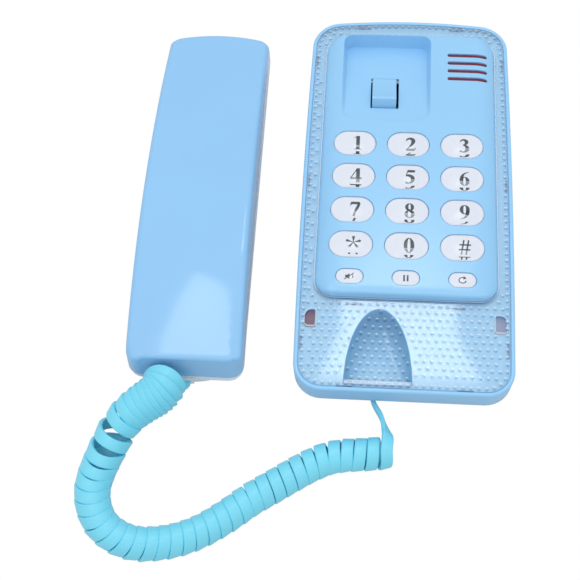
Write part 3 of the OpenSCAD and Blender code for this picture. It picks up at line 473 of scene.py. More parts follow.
# the cord: a flat cord wound into a coil along its axis, with a lead at each end
cord = {
    "width": 5.2, "thick": 2.0, "round": 0.6, "perTurn": 26, "axisStep": 0.25, "leadStep": 0.8,
    "axis": [[-66.9, -94.2, 14.4], [-67.0, -95.4, 15.0], [-67.8, -97.6, 15.2], [-70.6, -100.4, 14.5],
             [-75.4, -103.6, 13.0], [-80.6, -107.6, 11.2], [-84.9, -112.9, 9.7], [-87.8, -119.6, 9.0],
             [-90.2, -126.6, 8.7], [-92.4, -134, 8.5], [-93.3, -141.4, 8.3], [-91.7, -149, 8.1],
             [-87.4, -156, 7.9], [-80, -161, 7.7], [-71.8, -163, 7.5], [-62.7, -162.3, 7.4],
             [-53.7, -160, 7.4], [-44.8, -155.9, 7.4], [-35.3, -149.5, 7.4], [-25.8, -142, 7.4],
             [-16.4, -135.8, 7.4],
             [-9.5, -131.2, 7.4], [-2.2, -126.6, 7.4], [5.5, -122.8, 7.4], [13, -121, 7.4],
             [20.8, -120.2, 7.4], [27, -119.4, 7.4], [30.4, -118.6, 7.4]],
    "handsetLead": [[-59.38, -89.5, 4.4], [-59.7, -90.6, 4.4], [-61.0, -91.7, 4.8], [-63.2, -92.6, 5.6]],
    "baseLead": [[30.9, -113.6, 12.6], [30.1, -109.6, 10.4], [28.0, -103.2, 8.3], [25.0, -97.6, 7.4],
                 [23.9, -94.2, 7.2], [23.8, -92.3, 7.2]],
    # distance along the axis, and for each the pitch, the outer radius, the lean of the flat cord in degrees
    # and how far the turns lie over
    "marks": [0, 7, 12, 18, 23, 27, 35, 40, 50, 75, 120, 150, 400],
    "pitch": [1.8, 2.0, 2.6, 3.4, 4.8, 8.6, 8.6, 6.4, 5.9, 5.4, 5.3, 5.5, 5.9],
    "outer": [9.9, 9.8, 9.5, 9.2, 9.0, 8.8, 8.7, 8.5, 8.2, 7.6, 7.2, 7.2, 7.2],
    "lean": [20, 20, 18, 16, 14, 10, 8, 8, 8, 9, 7, 4, 2],
    "over": [0, 0, 0.05, 0.1, 0.2, 0.4, 0.6, 0.75, 0.75, 0.5, 0.2, 0, 0],
    "startTurn": 180}


def flatSection(width, thick, round):
    # rounded rectangle: four quarter arcs on its corners
    steps = 4
    a = np.radians(np.concatenate([np.linspace(q, q + 90, steps) for q in (0, 90, 180, 270)]))
    sx = np.repeat([1, -1, -1, 1], steps) * (width / 2 - round)
    sy = np.repeat([1, 1, -1, -1], steps) * (thick / 2 - round)
    return np.stack([sx + round * np.cos(a), sy + round * np.sin(a)], 1)


def curlyCentre(c):
    # helix round the axis: centre + r * (cos f * up - sin f * side) + over * r * cos f * t, where f grows
    # by a turn each pitch, t is the axis's direction and over lays the turns on each other; the second
    # result is the direction of the cord's face
    axis = evenCurve(c["axis"], c["axisStep"])
    s = distanceAlong(axis)
    pitch = np.interp(s, c["marks"], c["pitch"])
    turns = np.concatenate([[0], np.cumsum(np.diff(s) / (0.5 * (pitch[1:] + pitch[:-1])))])
    start = c["startTurn"] / 360
    whole = round(start + turns[-1])
    turns = start + turns * (whole - start) / turns[-1]
    wanted = np.linspace(start, whole, int((whole - start) * c["perTurn"]) + 1)
    at = np.interp(wanted, turns, s)
    centre = pointsAt(at, s, axis)
    t = unit(pointsAt(at, s, unit(np.gradient(axis, axis=0))))
    up = unit(np.array([0, 0, 1.0]) - t[:, 2:] * t)
    side = np.cross(t, up)
    f = (2 * math.pi * wanted)[:, None]
    outer, lean, over = (np.interp(at, c["marks"], c[k])[:, None] for k in ("outer", "lean", "over"))
    lean = np.radians(lean)
    radius = outer - (c["width"] / 2 * np.sin(lean) + c["thick"] / 2 * np.cos(lean))
    radial = np.cos(f) * up - np.sin(f) * side
    shift = over * radius * np.cos(f)
    return centre + radius * radial + shift * t, np.cos(lean) * radial + np.sin(lean) * t


def cordPath(c):
    # lead from the handset, the coil and the lead to the base, with the face's direction at each point; each
    # lead is a curve through its own points and three of the coil's half turn that it meets
    coil, face = curlyCentre(c)
    first = evenCurve(np.vstack([c["handsetLead"], coil[1:14:6]]), c["leadStep"])
    first = first[:np.linalg.norm(first - coil[1], axis=1).argmin()]
    last = evenCurve(np.vstack([coil[-14:-1:6], c["baseLead"]]), c["leadStep"])
    last = last[np.linalg.norm(last - coil[-2], axis=1).argmin() + 1:]
    k = np.linspace(0, 1, len(first))[:, None]
    firstFace = (1 - smooth(k)) * np.array([0, 0, -1.0]) + smooth(k) * face[1]
    # the lead to the base turns over in its first 60 % and lies flat again in its last 10 %
    k = np.linspace(0, 1, len(last))[:, None]
    edge, flatOn = np.array([0.95, 0.3, 0.1]), np.array([0.1, 0, 1.0])
    turnedOver, settled = smooth(k / 0.6), smooth((k - 0.9) / 0.1)
    lastFace = (1 - turnedOver) * face[-2] + (turnedOver - settled) * edge + settled * flatOn
    return np.vstack([first, coil[1:-1], last]), np.vstack([firstFace, face[1:-1], lastFace])


def sweepFlat(path, face, section):
    # carries the section along the path, its width across the path and its thickness along the face
    tangent = unit(np.gradient(path, axis=0))
    normal = unit(face - (face * tangent).sum(1, keepdims=True) * tangent)
    across = np.cross(tangent, normal)
    points = path[:, None] + section[None, :, :1] * across[:, None] + section[None, :, 1:] * normal[:, None]
    n = len(section)
    faces = gridFaces(len(path), n, True)[:, ::-1]
    ends = [np.arange(n)[None, :], (len(points) - 1) * n + np.arange(n)[None, ::-1]]
    return points.reshape(-1, 3), [faces] + ends


path, face = cordPath(cord)
points, faces = sweepFlat(path, face, flatSection(cord["width"], cord["thick"], cord["round"]))
cordPiece = makeMesh("curlyCord", points, faces, finishes["cord"])
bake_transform(cordPiece)
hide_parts("curly_cord", "base_cord_lead", "handset_cord_lead")

# the base's levels, its hook lever with the lever's opening in the recess, and the sound slots
rim, shelf, cover = base["rim"], base["shelf"], base["cover"]
hook = {"opening": (-18.2, -4.9, 45.2, 64.4), "left": -17.5, "right": -6.1, "bevel": 0.25,
        "pin": (63.9, 21.72), "barrel": 2.4, "back": [(64.2, 24.05)],
        "nose": [(50.6, 30.1), (49.3, 30.72), (48.3, 30.5), (47.6, 29.3)],
        "foot": [(45.9, 26.4), (45.8, 25.6), (47.4, 22.6)]}
grille = {"x": 27.5, "far": 76.1, "pitch": 4.53, "size": (19.0, 2.0), "count": 4}


def keyPlaces():
    # the number keys in rows of three from the far side, then the three small keys
    names = ["1", "2", "3", "4", "5", "6", "7", "8", "9", "star", "0", "hash", "mute", "pause", "redial"]
    places = {}
    for i, name in enumerate(names):
        x = (i % 3 - 1) * keys["pitchX"]
        y = keys["row"] + (3 - i // 3) * keys["pitchY"] if i < 12 else keys["smallRow"]
        places[name] = ((x, y), keys["size"] if i < 12 else keys["smallSize"])
    return places


def nearest(points, loop):
    # distance to the loop's line, the direction away from it, and whether the point is inside
    a, b = loop, np.roll(loop, -1, 0)
    best, toward = np.full(len(points), np.inf), np.zeros_like(points)
    crossed = np.zeros(len(points), bool)
    for p, q in zip(a, b):
        edge = q - p
        t = np.clip(((points - p) @ edge) / max(edge @ edge, 1e-9), 0, 1)
        gap = points - p - t[:, None] * edge
        d2 = (gap ** 2).sum(1)
        closer = d2 < best
        best, toward = np.where(closer, d2, best), np.where(closer[:, None], gap, toward)
        between = (p[1] > points[:, 1]) != (q[1] > points[:, 1])
        height = q[1] - p[1] if q[1] != p[1] else 1.0
        crossed ^= between & (points[:, 0] < p[0] + (points[:, 1] - p[1]) / height * (q[0] - p[0]))
    return np.sqrt(best), unit(toward), crossed


def crowned(xy):
    # the panel's top: top - crown * ((x - middle) / half width)^2
    half = (panel["right"] - panel["left"]) / 2
    return panel["top"] - panel["crown"] * ((xy[:, 0] - panel["middle"]) / half) ** 2


def crown(xy):
    # panel top with its shoulders w wide and v deep; at d from the edge, with u = 1 - d / w,
    # they drop v * (0.5 * u^2 + 0.5 * (1 - sqrt(1 - u^2)))
    d, away, _ = nearest(xy, panelLoop(2.4))
    across = np.clip(np.abs(away[:, 0]), 0, 1) ** 2
    (w1, v1), (w0, v0) = panel["shoulder"], panel["endShoulder"]
    w, v = w0 + (w1 - w0) * across, v0 + (v1 - v0) * across
    u = np.clip(1 - d / w, 0, 1)
    return crowned(xy) - v * (0.5 * u ** 2 + 0.5 * (1 - np.sqrt(1 - u ** 2)))


def rampHeight(xy):
    # the recess's floor, which falls toward its far end
    return crowned(xy) - np.maximum(xy[:, 1] - cradle["near"], 0) * cradle["slope"]


def makePanel():
    # raised panel with the mouths of the keys, the sound slots and the recess
    skin = Skin()
    loop = panelLoop()
    edges = [0.02, 0.1, 0.25, 0.5, 0.8, 1.2]
    strip(skin, loop, [(0, shelf - 1.0), (0, shelf)] + [(d, crown(inset(loop, d))) for d in edges])
    holes = []
    for at, size in keyPlaces().values():
        mouth = pillLoop(at, size, keys["gap"], 0.8)[::-1]
        strip(skin, mouth, [(0, crown(mouth)), (-0.06, crown(mouth) - 0.03), (-0.1, crown(mouth) - 0.15),
                            (-0.1, crown(mouth) - 2.2)])
        holes.append(mouth)
    for i in range(grille["count"]):
        slot = pillLoop((grille["x"], grille["far"] - grille["pitch"] * i), grille["size"], 0.05, 0.5)[::-1]
        strip(skin, slot, [(0, crown(slot)), (-0.05, crown(slot) - 0.1), (-0.05, crown(slot) - 1.0)])
        holes.append(slot)
    # wall of the recess, from the panel's top down to the sloping floor over a narrow run
    mouth = cradleLoop()[::-1]
    rows = []
    for t in np.linspace(0, 1, 13):
        ring = inset(mouth, -cradle["run"] * t)
        s = 0.35 * smooth(t) + 0.65 * np.clip(t * 1.3 - 0.15, 0, 1)
        rows.append((-cradle["run"] * t, crown(ring) * (1 - s) + rampHeight(ring) * s))
    strip(skin, mouth, rows)
    lever = corners(*hook["opening"], 0.3, 3)[::-1]
    strip(skin, lever, [(0, rampHeight(lever)), (0, rampHeight(lever) - 2.0)])
    plate(skin, inset(mouth, -cradle["run"]), [lever], rampHeight, 3.0)
    plate(skin, inset(loop, edges[-1]), holes + [mouth], crown, 2.6)
    return skin


def hookLever():
    # side view of the lever, a rounded nose and the barrel round its pin, carried across with small bevels
    a = np.radians(np.linspace(-100, 78, 12))
    barrel = np.array(hook["pin"]) + hook["barrel"] * np.stack([np.cos(a), np.sin(a)], 1)
    loop = np.vstack([barrel, hook["back"], evenCurve(hook["nose"], 0.3), hook["foot"]])
    left, right, bevel = hook["left"], hook["right"], hook["bevel"]

    def side(x, cut):
        return np.column_stack([np.full(len(loop), x), inset(loop, cut)])

    skin = Skin()
    around = np.arange(len(loop))[None]
    skin.add(side(left, bevel), [around])
    skin.add(side(right, bevel), [around], flip=True)
    rows = [side(left, bevel), side(left + bevel, 0), side(right - bevel, 0), side(right, bevel)]
    skin.add(np.vstack(rows), [gridFaces(len(rows), len(loop), True)])
    skin.build("hookLever", finishes["base"], "hook", "base_blue", ["hook_lever"], sharp=35)


def makeRim(skin):
    # flat rim with soft edges, side wall and the turned-in lip under it
    inside, foot = base["rimWidth"], base["wallBottom"]
    lip = [(inside + 4, foot + 0.3), (inside, foot), (0.6, foot), (0.25, foot + 0.25), (0.15, foot + 0.7)]
    edge = [(0, rim - 1.2), (0.1, rim - 0.6), (0.3, rim - 0.25), (0.65, rim)]
    strip(skin, baseLoop(), lip + edge + [(inside - 0.3, rim), (inside, rim - 0.2), (inside, shelf)])


# slots of the clips: three at each side, two at each end, and two by the panel as x, y, width and length
clips = {"sideInset": 2.7, "sideY": (75, 7.5, -74), "sideSize": (0.9, 6.4),
         "nearY": -93.3, "nearX": (-25.2, 26.3), "nearSize": (6.8, 0.9),
         "farInset": 3.0, "farX": (-22.3, 22.8), "farSize": (6.2, 0.9),
         "byPanel": [(-22.2, -54.6, 6.2, 0.9), (23.5, -55.2, 6.0, 0.9)], "grow": 0.1, "sunk": 0.5}
# windows at each side of the lower area: left and right edge, and the radii of their corners
latches = {"near": -66.5, "far": -58.0, "lip": 0.35,
           "windows": [(-43.8, -38.6, [0.4, 0.9, 3.2, 1.6]), (39.0, 44.4, [0.8, 2.6, 0.9, 0.4])]}


def clipLoops():
    # the slots' outlines; those at the sides and the far end follow the base's swell
    spots = [(side * (base["width"] / 2 + sideSwell(y) - clips["sideInset"]), y, *clips["sideSize"])
             for side in (-1, 1) for y in clips["sideY"]]
    spots += [(x, clips["nearY"], *clips["nearSize"]) for x in clips["nearX"]]
    spots += [(x, base["length"] / 2 + endSwell(x) - clips["farInset"], *clips["farSize"])
              for x in clips["farX"]]
    spots = np.array(spots + clips["byPanel"])
    half = spots[:, 2:] / 2 + clips["grow"]
    low, high = spots[:, :2] - half, spots[:, :2] + half
    return [corners(a[0], b[0], a[1], b[1], 0.2, 3) for a, b in zip(low, high)]


def latchLoops(grow=0.0):
    # the windows' outlines
    near, far = latches["near"] - grow, latches["far"] + grow
    return [evenLoop(corners(x0 - grow, x1 + grow, near, far, r), 0.6) for x0, x1, r in latches["windows"]]


def troughArcs(drop, grow=0.0):
    # contour of a tilted cylinder at a depth: x = r sin f, (y - near) sin dip + depth cos dip = r cos f
    r, dip = trough["radius"] + grow, trough["dip"]
    f = np.linspace(-1, 1, 44) * math.acos(min(drop * math.cos(dip) / r, 1))
    y = (r * np.cos(f) - drop * math.cos(dip)) / math.sin(dip)
    return np.stack([trough["x"] + r * np.sin(f), trough["near"] + y], 1)


def troughFloor(level):
    # soft-bottomed scoop: -depth * (1 - (1 - s)^fullness), with s from 0 to 1 over the cylinder's depth
    s = np.clip(level / (trough["radius"] / math.cos(trough["dip"])), 0, 1)
    return -trough["depth"] * (1 - (1 - s) ** trough["fullness"])


def makeTrough(skin, level, grow=0.0):
    # the scoop below the level, from its contours
    deepest = (trough["radius"] + grow) / math.cos(trough["dip"])
    drops = deepest * (1 - np.cos(np.linspace(0, math.pi / 2, 18))) * 0.999
    rows = [raised(troughArcs(d, grow), level + troughFloor(d)) for d in drops]
    skin.add(np.vstack(rows), [gridFaces(len(rows), len(rows[0]))], flip=True)
    # end wall, leaning out a little toward its top
    ends = np.array([[row[0], row[-1]] for row in rows])
    across = np.vstack([ends[:, 0], ends[::-1, 1]])
    top = across.copy()
    top[:, 2] = level
    top[:, 1] -= trough["endLean"]
    skin.add(np.vstack([across, top]), [gridFaces(2, len(across))])


def upperShell():
    # the raised panel and the rim round the base
    skin = makePanel()
    makeRim(skin)
    skin.build("upperShell", finishes["base"], "base", "base_blue", ["upper_shell"], sharp=50)


def coverShelf():
    # the shelf that the clear cover lies on, with its scoop, clip slots and windows
    skin = Skin()
    outer = inset(baseLoop(), base["rimWidth"])
    openings = clipLoops() + latchLoops()
    plate(skin, outer, [panelLoop(2.4), troughArcs(0, base["slip"]), *openings], flat(shelf), 6.0)
    makeTrough(skin, shelf - 0.01, base["slip"])
    for loop in openings:
        strip(skin, loop[::-1], [(0, shelf), (0, shelf - base["coverThick"])])
    skin.build("coverShelf", finishes["shelf"], "base", "base_blue", sharp=50)
    for i, loop in enumerate(clipLoops()):
        tab = Skin()
        plate(tab, loop, [], flat(shelf - clips["sunk"]), 2.0)
        tab.build("clipTab_%d" % i, finishes["clip"], "base", "clear_plastic")


upperShell()
coverShelf()
hookLever()
print("upper shell made")

# the clear cover's pips, in staggered rows that keep clear of its edges, and in a row along the rim
pip = {"radius": 0.95, "rise": 0.48, "sides": 12, "fullness": 0.93, "sunk": 0.02,
       "pitchX": 3.4, "pitchY": 3.25, "fromEdge": 3.2, "fromPanel": 1.9, "fromWindow": 1.4, "fromScoop": 0.9,
       "rimInset": 1.5, "rimPitch": 3.3, "rimFromPanel": 1.3}


def coverHeight(xy):
    # flat, and in the trough the tilted cylinder cut off at its depth
    x, y = xy[:, 0] - trough["x"], xy[:, 1] - trough["near"]
    dip = trough["dip"]
    q = np.sqrt(np.maximum(trough["radius"] ** 2 - x ** 2, 0))
    low = (q - y * math.sin(dip)) / math.cos(dip)
    return cover + np.where(y < 0, 0, troughFloor(np.maximum(low, 0)))


def pips(skin, centres, height):
    # low round pips standing on a surface, each the cap of a ball; with k from 1 at the rim to 0 at the tip
    # and e = sqrt(1 - full^2), lift = rise * (sqrt(1 - (full k)^2) - e) / (1 - e) - sunk
    rise, sides, full = pip["rise"], pip["sides"], pip["fullness"]
    normal = surfaceNormals(height, centres)
    u = unit(np.cross(np.array([0, 1.0, 0]), normal))
    v = np.cross(normal, u)
    a = np.arange(sides) * 2 * math.pi / sides
    around = np.cos(a)[None, :, None] * u[:, None] + np.sin(a)[None, :, None] * v[:, None]
    foot, e = raised(centres, height(centres)), math.sqrt(1 - full ** 2)
    rings = []
    for k in (1.0, 0.86, 0.6, 0.3):
        lift = rise * (math.sqrt(1 - (full * k) ** 2) - e) / (1 - e) - pip["sunk"]
        rings.append(foot[:, None] + lift * normal[:, None] + pip["radius"] * k * around)
    tip = foot + (rise - 0.01) * normal
    block = np.concatenate(rings + [tip[:, None]], 1)
    size = 4 * sides + 1
    quads = gridFaces(4, sides, True)
    fan = np.array([[3 * sides + k, 3 * sides + (k + 1) % sides, 4 * sides] for k in range(sides)])
    start = (np.arange(len(centres)) * size)[:, None, None]
    skin.add(block.reshape(-1, 3), [(quads + start).reshape(-1, 4), (fan + start).reshape(-1, 3)])


def clearOf(points, loop, gap, inside):
    # whether each point is on the wanted side of the loop and further from it than the gap
    d, _, within = nearest(points, loop)
    return (within == inside) & (d > gap)


def clearCover():
    # sheet on the shelf, with a lip round the panel, the two windows, the scoop and its pips
    skin = Skin()
    edge = inset(baseLoop(), base["rimWidth"] + base["slip"])
    foot = cover - base["coverThick"]
    strip(skin, edge, [(0, foot), (0, cover - 0.25), (0.25, cover)])
    mouth = inset(panelLoop(1.6), -base["slip"])
    strip(skin, mouth, [(0, foot), (0, cover + 0.15), (-0.15, cover + 0.35), (-0.5, cover + 0.35),
                        (-0.7, cover + 0.2), (-0.8, cover)], flip=True)
    windows = latchLoops(-latches["lip"])
    for loop in windows:
        strip(skin, loop, [(0, foot), (0, cover - 0.25), (-0.25, cover)], flip=True)
    scoop = troughArcs(0)
    holes = [inset(mouth, -0.8), scoop, *[inset(loop, -0.25) for loop in windows]]
    plate(skin, inset(edge, 0.25), holes, flat(cover), 8.0)
    makeTrough(skin, cover - 0.01)
    i, j = np.meshgrid(np.arange(-15, 16), np.arange(-31, 32), indexing="ij")
    lattice = np.stack([(i + 0.5 * (j % 2)).ravel() * pip["pitchX"], j.ravel() * pip["pitchY"]], 1)
    kept = clearOf(lattice, edge, pip["fromEdge"], True) & clearOf(lattice, mouth, pip["fromPanel"], False)
    for loop in windows:
        kept &= clearOf(lattice, loop, pip["fromWindow"], False)
    gap = pip["fromScoop"]
    kept &= clearOf(lattice, scoop, gap, True) | clearOf(lattice, scoop, gap, False)
    row = evenLoop(inset(edge, pip["rimInset"]), pip["rimPitch"])
    row = row[clearOf(row, mouth, pip["rimFromPanel"], False)]
    pips(skin, np.vstack([lattice[kept], row]), coverHeight)
    skin.build("clearCover", finishes["cover"], "base", "clear_plastic", ["clear_cover"], sharp=40)


clearCover()


def underneath(name, box, height, finish):
    # low block seen through an opening: its top at the given height, its sides 1 mm deep
    skin = Skin()
    loop = evenLoop(corners(*box, 0.8, 5), 1.0)
    strip(skin, loop, [(0, height(loop) - 1.0), (0, height(loop))])
    plate(skin, loop, [], height, 1.5)
    skin.build(name, finishes[finish], "base", "board", sharp=40)


# cloth 0.9 mm under the sound slots, and the blocks behind the two windows
blockTop = flat(20.8)
underneath("grilleFelt", (16.5, 38.2, 60.0, 78.5), lambda xy: crown(xy) - 0.9, "felt")
underneath("latchBlockLeft", (-44.2, -38.0, -67.2, -57.4), blockTop, "board")
underneath("latchBlockRight", (38.6, 44.8, -67.2, -57.4), blockTop, "clip")


def windowEdges():
    # whitish hazy bands laid flat on the cover round the two windows and over the lip round the panel:
    # painted glints for the light that the cut edges catch
    skin = Skin()
    for loop in latchLoops(-latches["lip"]):
        strip(skin, loop, [(0.0, cover + 0.02), (-0.5, cover + 0.02)], flip=True)
    mouth = inset(panelLoop(1.6), -base["slip"])
    strip(skin, mouth, [(-0.1, cover + 0.37), (-0.55, cover + 0.37)], flip=True)
    skin.build("windowEdges", finishes["edge"], "base", "clear_plastic")


bar = {"halfWidth": 14.4, "near": -0.2, "far": 1.5, "below": 0.6, "deep": 1.6, "corner": 0.4, "bevel": 0.25}


def endBar():
    # clear bar across the scoop's open end
    skin = Skin()
    x, y, half, bevel = trough["x"], trough["near"], bar["halfWidth"], bar["bevel"]
    loop = corners(x - half, x + half, y + bar["near"], y + bar["far"], bar["corner"], 4)
    top = cover - bar["below"]
    strip(skin, loop, [(0, top - bar["deep"]), (0, top - 0.2), (bevel, top)])
    plate(skin, inset(loop, bevel), [], flat(top), 1.5)
    # the bar's whitish haze is the same painted glint
    skin.build("scoopEndBar", finishes["edge"], "base", "clear_plastic", sharp=40)


windowEdges()
endBar()


# the keys' clear caps and white bodies: the ball of a cap's top over its width, its shoulder, the gap
# round a body and the bevel on its top
cap = {"ball": 2.2, "shoulder": 0.9, "gap": 0.05, "bevel": 0.2}


def keyCap(name, at, size, topHeight, bodyHeight):
    # clear cap whose top is part of a ball over the key's middle, and the white body that fills it
    ball, seat = size[0] * cap["ball"], keys["seat"]

    def domeTop(xy):
        return topHeight - ball + np.sqrt(ball ** 2 - ((xy - at) ** 2).sum(1))

    skin = Skin()
    foot = [(-1, seat), (-1, seat + 1), (0, seat + 1.05)]
    top = dome(skin, pillLoop(at, size, 0), foot, domeTop, cap["shoulder"], 7)
    plate(skin, top, [], domeTop, 1.2)
    skin.build("keyCap_" + name, finishes["cap"], "key_" + name, "key_clear", ["key_cap_" + name], sharp=60)
    body = Skin()
    loop = pillLoop(at, size, -cap["gap"])
    strip(body, loop, [(0, seat - 0.3), (0, bodyHeight - 0.24), (cap["bevel"], bodyHeight)])
    plate(body, inset(loop, cap["bevel"]), [], flat(bodyHeight), 2.5)
    body.build("keyBody_" + name, finishes["key"], "key_" + name, "key_white", ["key_insert_" + name],
               sharp=50)


for name, (at, size) in keyPlaces().items():
    top, insert = ("smallTop", "smallInsert") if size == keys["smallSize"] else ("top", "insert")
    keyCap(name, np.array(at), size, keys[top], keys[insert])


def ring(x, y, a, b, thin, thick, start=0, end=360):
    # ellipse whose line is thick at its sides and thin at its top and foot
    f = np.radians(np.linspace(start, end, 33))
    half = thin + (thick - thin) * np.abs(np.cos(f)) ** 1.5
    return np.stack([x + a * np.cos(f), y + b * np.sin(f), half], 1)


def starArm(a):
    # one arm of the star from its middle outward, thickest near its end
    middle = 0.58
    return [(r * math.cos(a), middle + r * math.sin(a), half)
            for r, half in ((0, 0.012), (0.22, 0.045), (0.36, 0.085), (0.42, 0.03))]


def glyphs():
    # strokes as x, y and half width; the box is 1 high and its middle is at x = 0
    bent = 0.03
    return {
        "1": [[(0.03, 0.02, 0.1), (0.03, 0.98, 0.1)], [(0.06, 0.96, 0.03), (-0.17, 0.86, 0.022)],
              [(-0.2, 0.02, 0.022), (0.24, 0.02, 0.022)],
              [(-0.09, 0.04, 0.02), (0.03, 0.1, 0.1), (0.15, 0.04, 0.02)]],
        "2": [evenCurve([(-0.25, 0.7, 0.012), (-0.19, 0.84, 0.05), (-0.05, 0.9, 0.075), (0.1, 0.84, 0.1),
                         (0.14, 0.7, 0.11), (0.07, 0.5, 0.075), (-0.07, 0.3, 0.04), (-0.24, 0.1, 0.02)],
                        bent),
              [(-0.26, 0.075, 0.03), (-0.2, 0.085, 0.085), (0.14, 0.085, 0.085), (0.22, 0.13, 0.05),
               (0.28, 0.24, 0.012)]],
        "3": [evenCurve([(-0.24, 0.76, 0.012), (-0.15, 0.88, 0.045), (-0.02, 0.92, 0.065),
                         (0.1, 0.85, 0.095), (0.12, 0.73, 0.1), (0.05, 0.6, 0.06), (-0.08, 0.53, 0.015)],
                        bent),
              evenCurve([(-0.08, 0.54, 0.015), (0.06, 0.5, 0.06), (0.16, 0.36, 0.1), (0.14, 0.18, 0.1),
                         (0.02, 0.06, 0.055), (-0.12, 0.05, 0.04), (-0.2, 0.1, 0.075), (-0.25, 0.13, 0.04)],
                        bent)],
        "4": [[(0.1, 0.0, 0.1), (0.1, 0.99, 0.1)], [(0.06, 0.97, 0.03), (-0.29, 0.3, 0.022)],
              [(-0.31, 0.29, 0.07), (0.3, 0.29, 0.07)]],
        "5": [[(-0.13, 0.9, 0.085), (0.2, 0.9, 0.085), (0.25, 0.97, 0.03)],
              [(-0.13, 0.94, 0.025), (-0.22, 0.56, 0.022)],
              evenCurve([(-0.22, 0.57, 0.04), (-0.08, 0.6, 0.085), (0.1, 0.5, 0.1), (0.15, 0.3, 0.1),
                         (0.06, 0.12, 0.065), (-0.1, 0.05, 0.04), (-0.19, 0.08, 0.07), (-0.25, 0.12, 0.04)],
                        bent)],
        "6": [ring(0.0, 0.31, 0.17, 0.29, 0.022, 0.1),
              evenCurve([(-0.17, 0.36, 0.1), (-0.14, 0.62, 0.085), (0.0, 0.85, 0.045), (0.24, 0.97, 0.012)],
                        bent)],
        "7": [[(-0.24, 0.72, 0.012), (-0.2, 0.84, 0.05), (-0.15, 0.9, 0.085), (0.26, 0.9, 0.085)],
              evenCurve([(0.25, 0.9, 0.06), (0.15, 0.62, 0.08), (0.02, 0.3, 0.065), (-0.05, 0.0, 0.06)],
                        0.05)],
        "8": [ring(0.0, 0.735, 0.15, 0.235, 0.022, 0.09), ring(0.0, 0.265, 0.18, 0.245, 0.022, 0.095),
              [(-0.13, 0.62, 0.06), (0.0, 0.5, 0.075), (0.15, 0.38, 0.06)]],
        "9": [ring(0.0, 0.69, 0.17, 0.29, 0.022, 0.1),
              evenCurve([(0.17, 0.64, 0.1), (0.14, 0.38, 0.085), (0.0, 0.15, 0.045), (-0.24, 0.03, 0.012)],
                        bent)],
        "0": [ring(0.0, 0.5, 0.18, 0.475, 0.022, 0.1)],
        "star": [starArm(a) for a in np.radians([90, 18, 162, 234, 306])],
        "hash": [[(-0.19, 0.02, 0.04), (-0.05, 0.98, 0.04)], [(0.06, 0.02, 0.04), (0.2, 0.98, 0.04)],
                 [(-0.29, 0.66, 0.045), (0.32, 0.66, 0.045)], [(-0.33, 0.34, 0.045), (0.28, 0.34, 0.045)]],
        "mute": [[(-0.5, 0.5, 0.16), (-0.28, 0.5, 0.16)], [(-0.28, 0.5, 0.16), (0.0, 0.5, 0.42)],
                 [(-0.6, 0.02, 0.06), (0.5, 0.98, 0.06)], ring(0.1, 0.5, 0.3, 0.34, 0.05, 0.05, -50, 50)],
        "pause": [[(-0.2, 0.05, 0.11), (-0.2, 0.95, 0.11)], [(0.2, 0.05, 0.11), (0.2, 0.95, 0.11)]],
        "redial": [ring(0.0, 0.5, 0.4, 0.4, 0.065, 0.065, 60, 350), [(0.1, 0.85, 0.24), (0.46, 0.8, 0.01)]],
    }


def between(strokes, low, high):
    # the stretches of the strokes whose height in the box is from low to high
    kept = []
    for stroke in strokes:
        s = np.asarray(stroke, float)
        along = distanceAlong(s[:, :2])
        s = pointsAt(np.linspace(0, along[-1], max(int(along[-1] / 0.02), 2) + 1), along, s)
        inside = (s[:, 1] >= low) & (s[:, 1] <= high)
        for run in np.split(np.arange(len(s)), np.flatnonzero(np.diff(inside.astype(int))) + 1):
            if inside[run[0]] and len(run) > 2:
                kept.append(s[run])
    return kept


# printed marks: sizes in mm, and where a number's foot is printed paler, a painted reflection, and is
# printed again, squashed, at the key's near edge, a painted refraction
marks = {"height": 7.5, "smallHeight": 3.4, "shift": (1.1, 0.35), "stretch": 1.12, "above": 0.03,
         "foot": 0.3, "edge": 0.38, "edgeSquash": 0.55, "edgeInset": 0.3}


def printGlyph(name, strokes, at, height, z, finish="ink", squash=1.0):
    # flat ribbons: each point of a stroke is widened by its half width across the stroke
    skin = Skin()
    scale = height * np.array([marks["stretch"], squash])
    for stroke in strokes:
        s = np.asarray(stroke, float)
        line = s[:, :2] * scale
        t = unit(np.gradient(line, axis=0))
        side = np.stack([-t[:, 1], t[:, 0]], 1) * s[:, 2:] * scale
        rows = np.vstack([line - side, line + side]) + at - [0, height / 2]
        skin.add(raised(rows, z), [gridFaces(2, len(line))], flip=True)
    key = name.split("_")[0]
    skin.build("print_" + name, finishes[finish], "key_" + key, "black_plastic", weld=0.0)


for name, strokes in glyphs().items():
    at, size = keyPlaces()[name]
    if size == keys["smallSize"]:
        printGlyph(name, strokes, np.array(at), marks["smallHeight"], keys["smallInsert"] + marks["above"])
        continue
    # the foot of each number is printed in paler ink, a painted reflection of the light on the cap, and
    # again, squashed, at the cap's near edge, a painted refraction of the foot that the edge bends
    at, height, z = np.array(at) + marks["shift"], marks["height"], keys["insert"] + marks["above"]
    printGlyph(name, between(strokes, marks["foot"], 1.1), at, height, z)
    printGlyph(name + "_foot", between(strokes, -0.1, marks["foot"]), at, height, z, "paintedReflectionInk")
    # the squashed copy at the near edge is painted refraction
    shown = between(strokes, -0.1, marks["edge"])
    at = at + [0, height / 2 - size[1] / 2 + marks["edgeInset"]]
    printGlyph(name + "_edge", shown, at, height, z, squash=marks["edgeSquash"])
print("keys made")

# the handset's back, in mm from the handset's middle; its near left corner is softer than the others
handset = {"width": 51.4, "taper": 1.6, "sway": 0.8, "length": 182.0, "height": 20.6, "archRadius": 355.0,
           "peak": -19.3, "crown": 0.25, "corner": 6.5, "farCorner": 5.0, "endRound": 76.0, "endRun": 12,
           "edge": 2.6, "nearEdge": 1.5, "farEdge": 2.2, "lean": 2.8,
           "softEdge": 1.6, "softFrom": (16, 80), "softRun": 9}


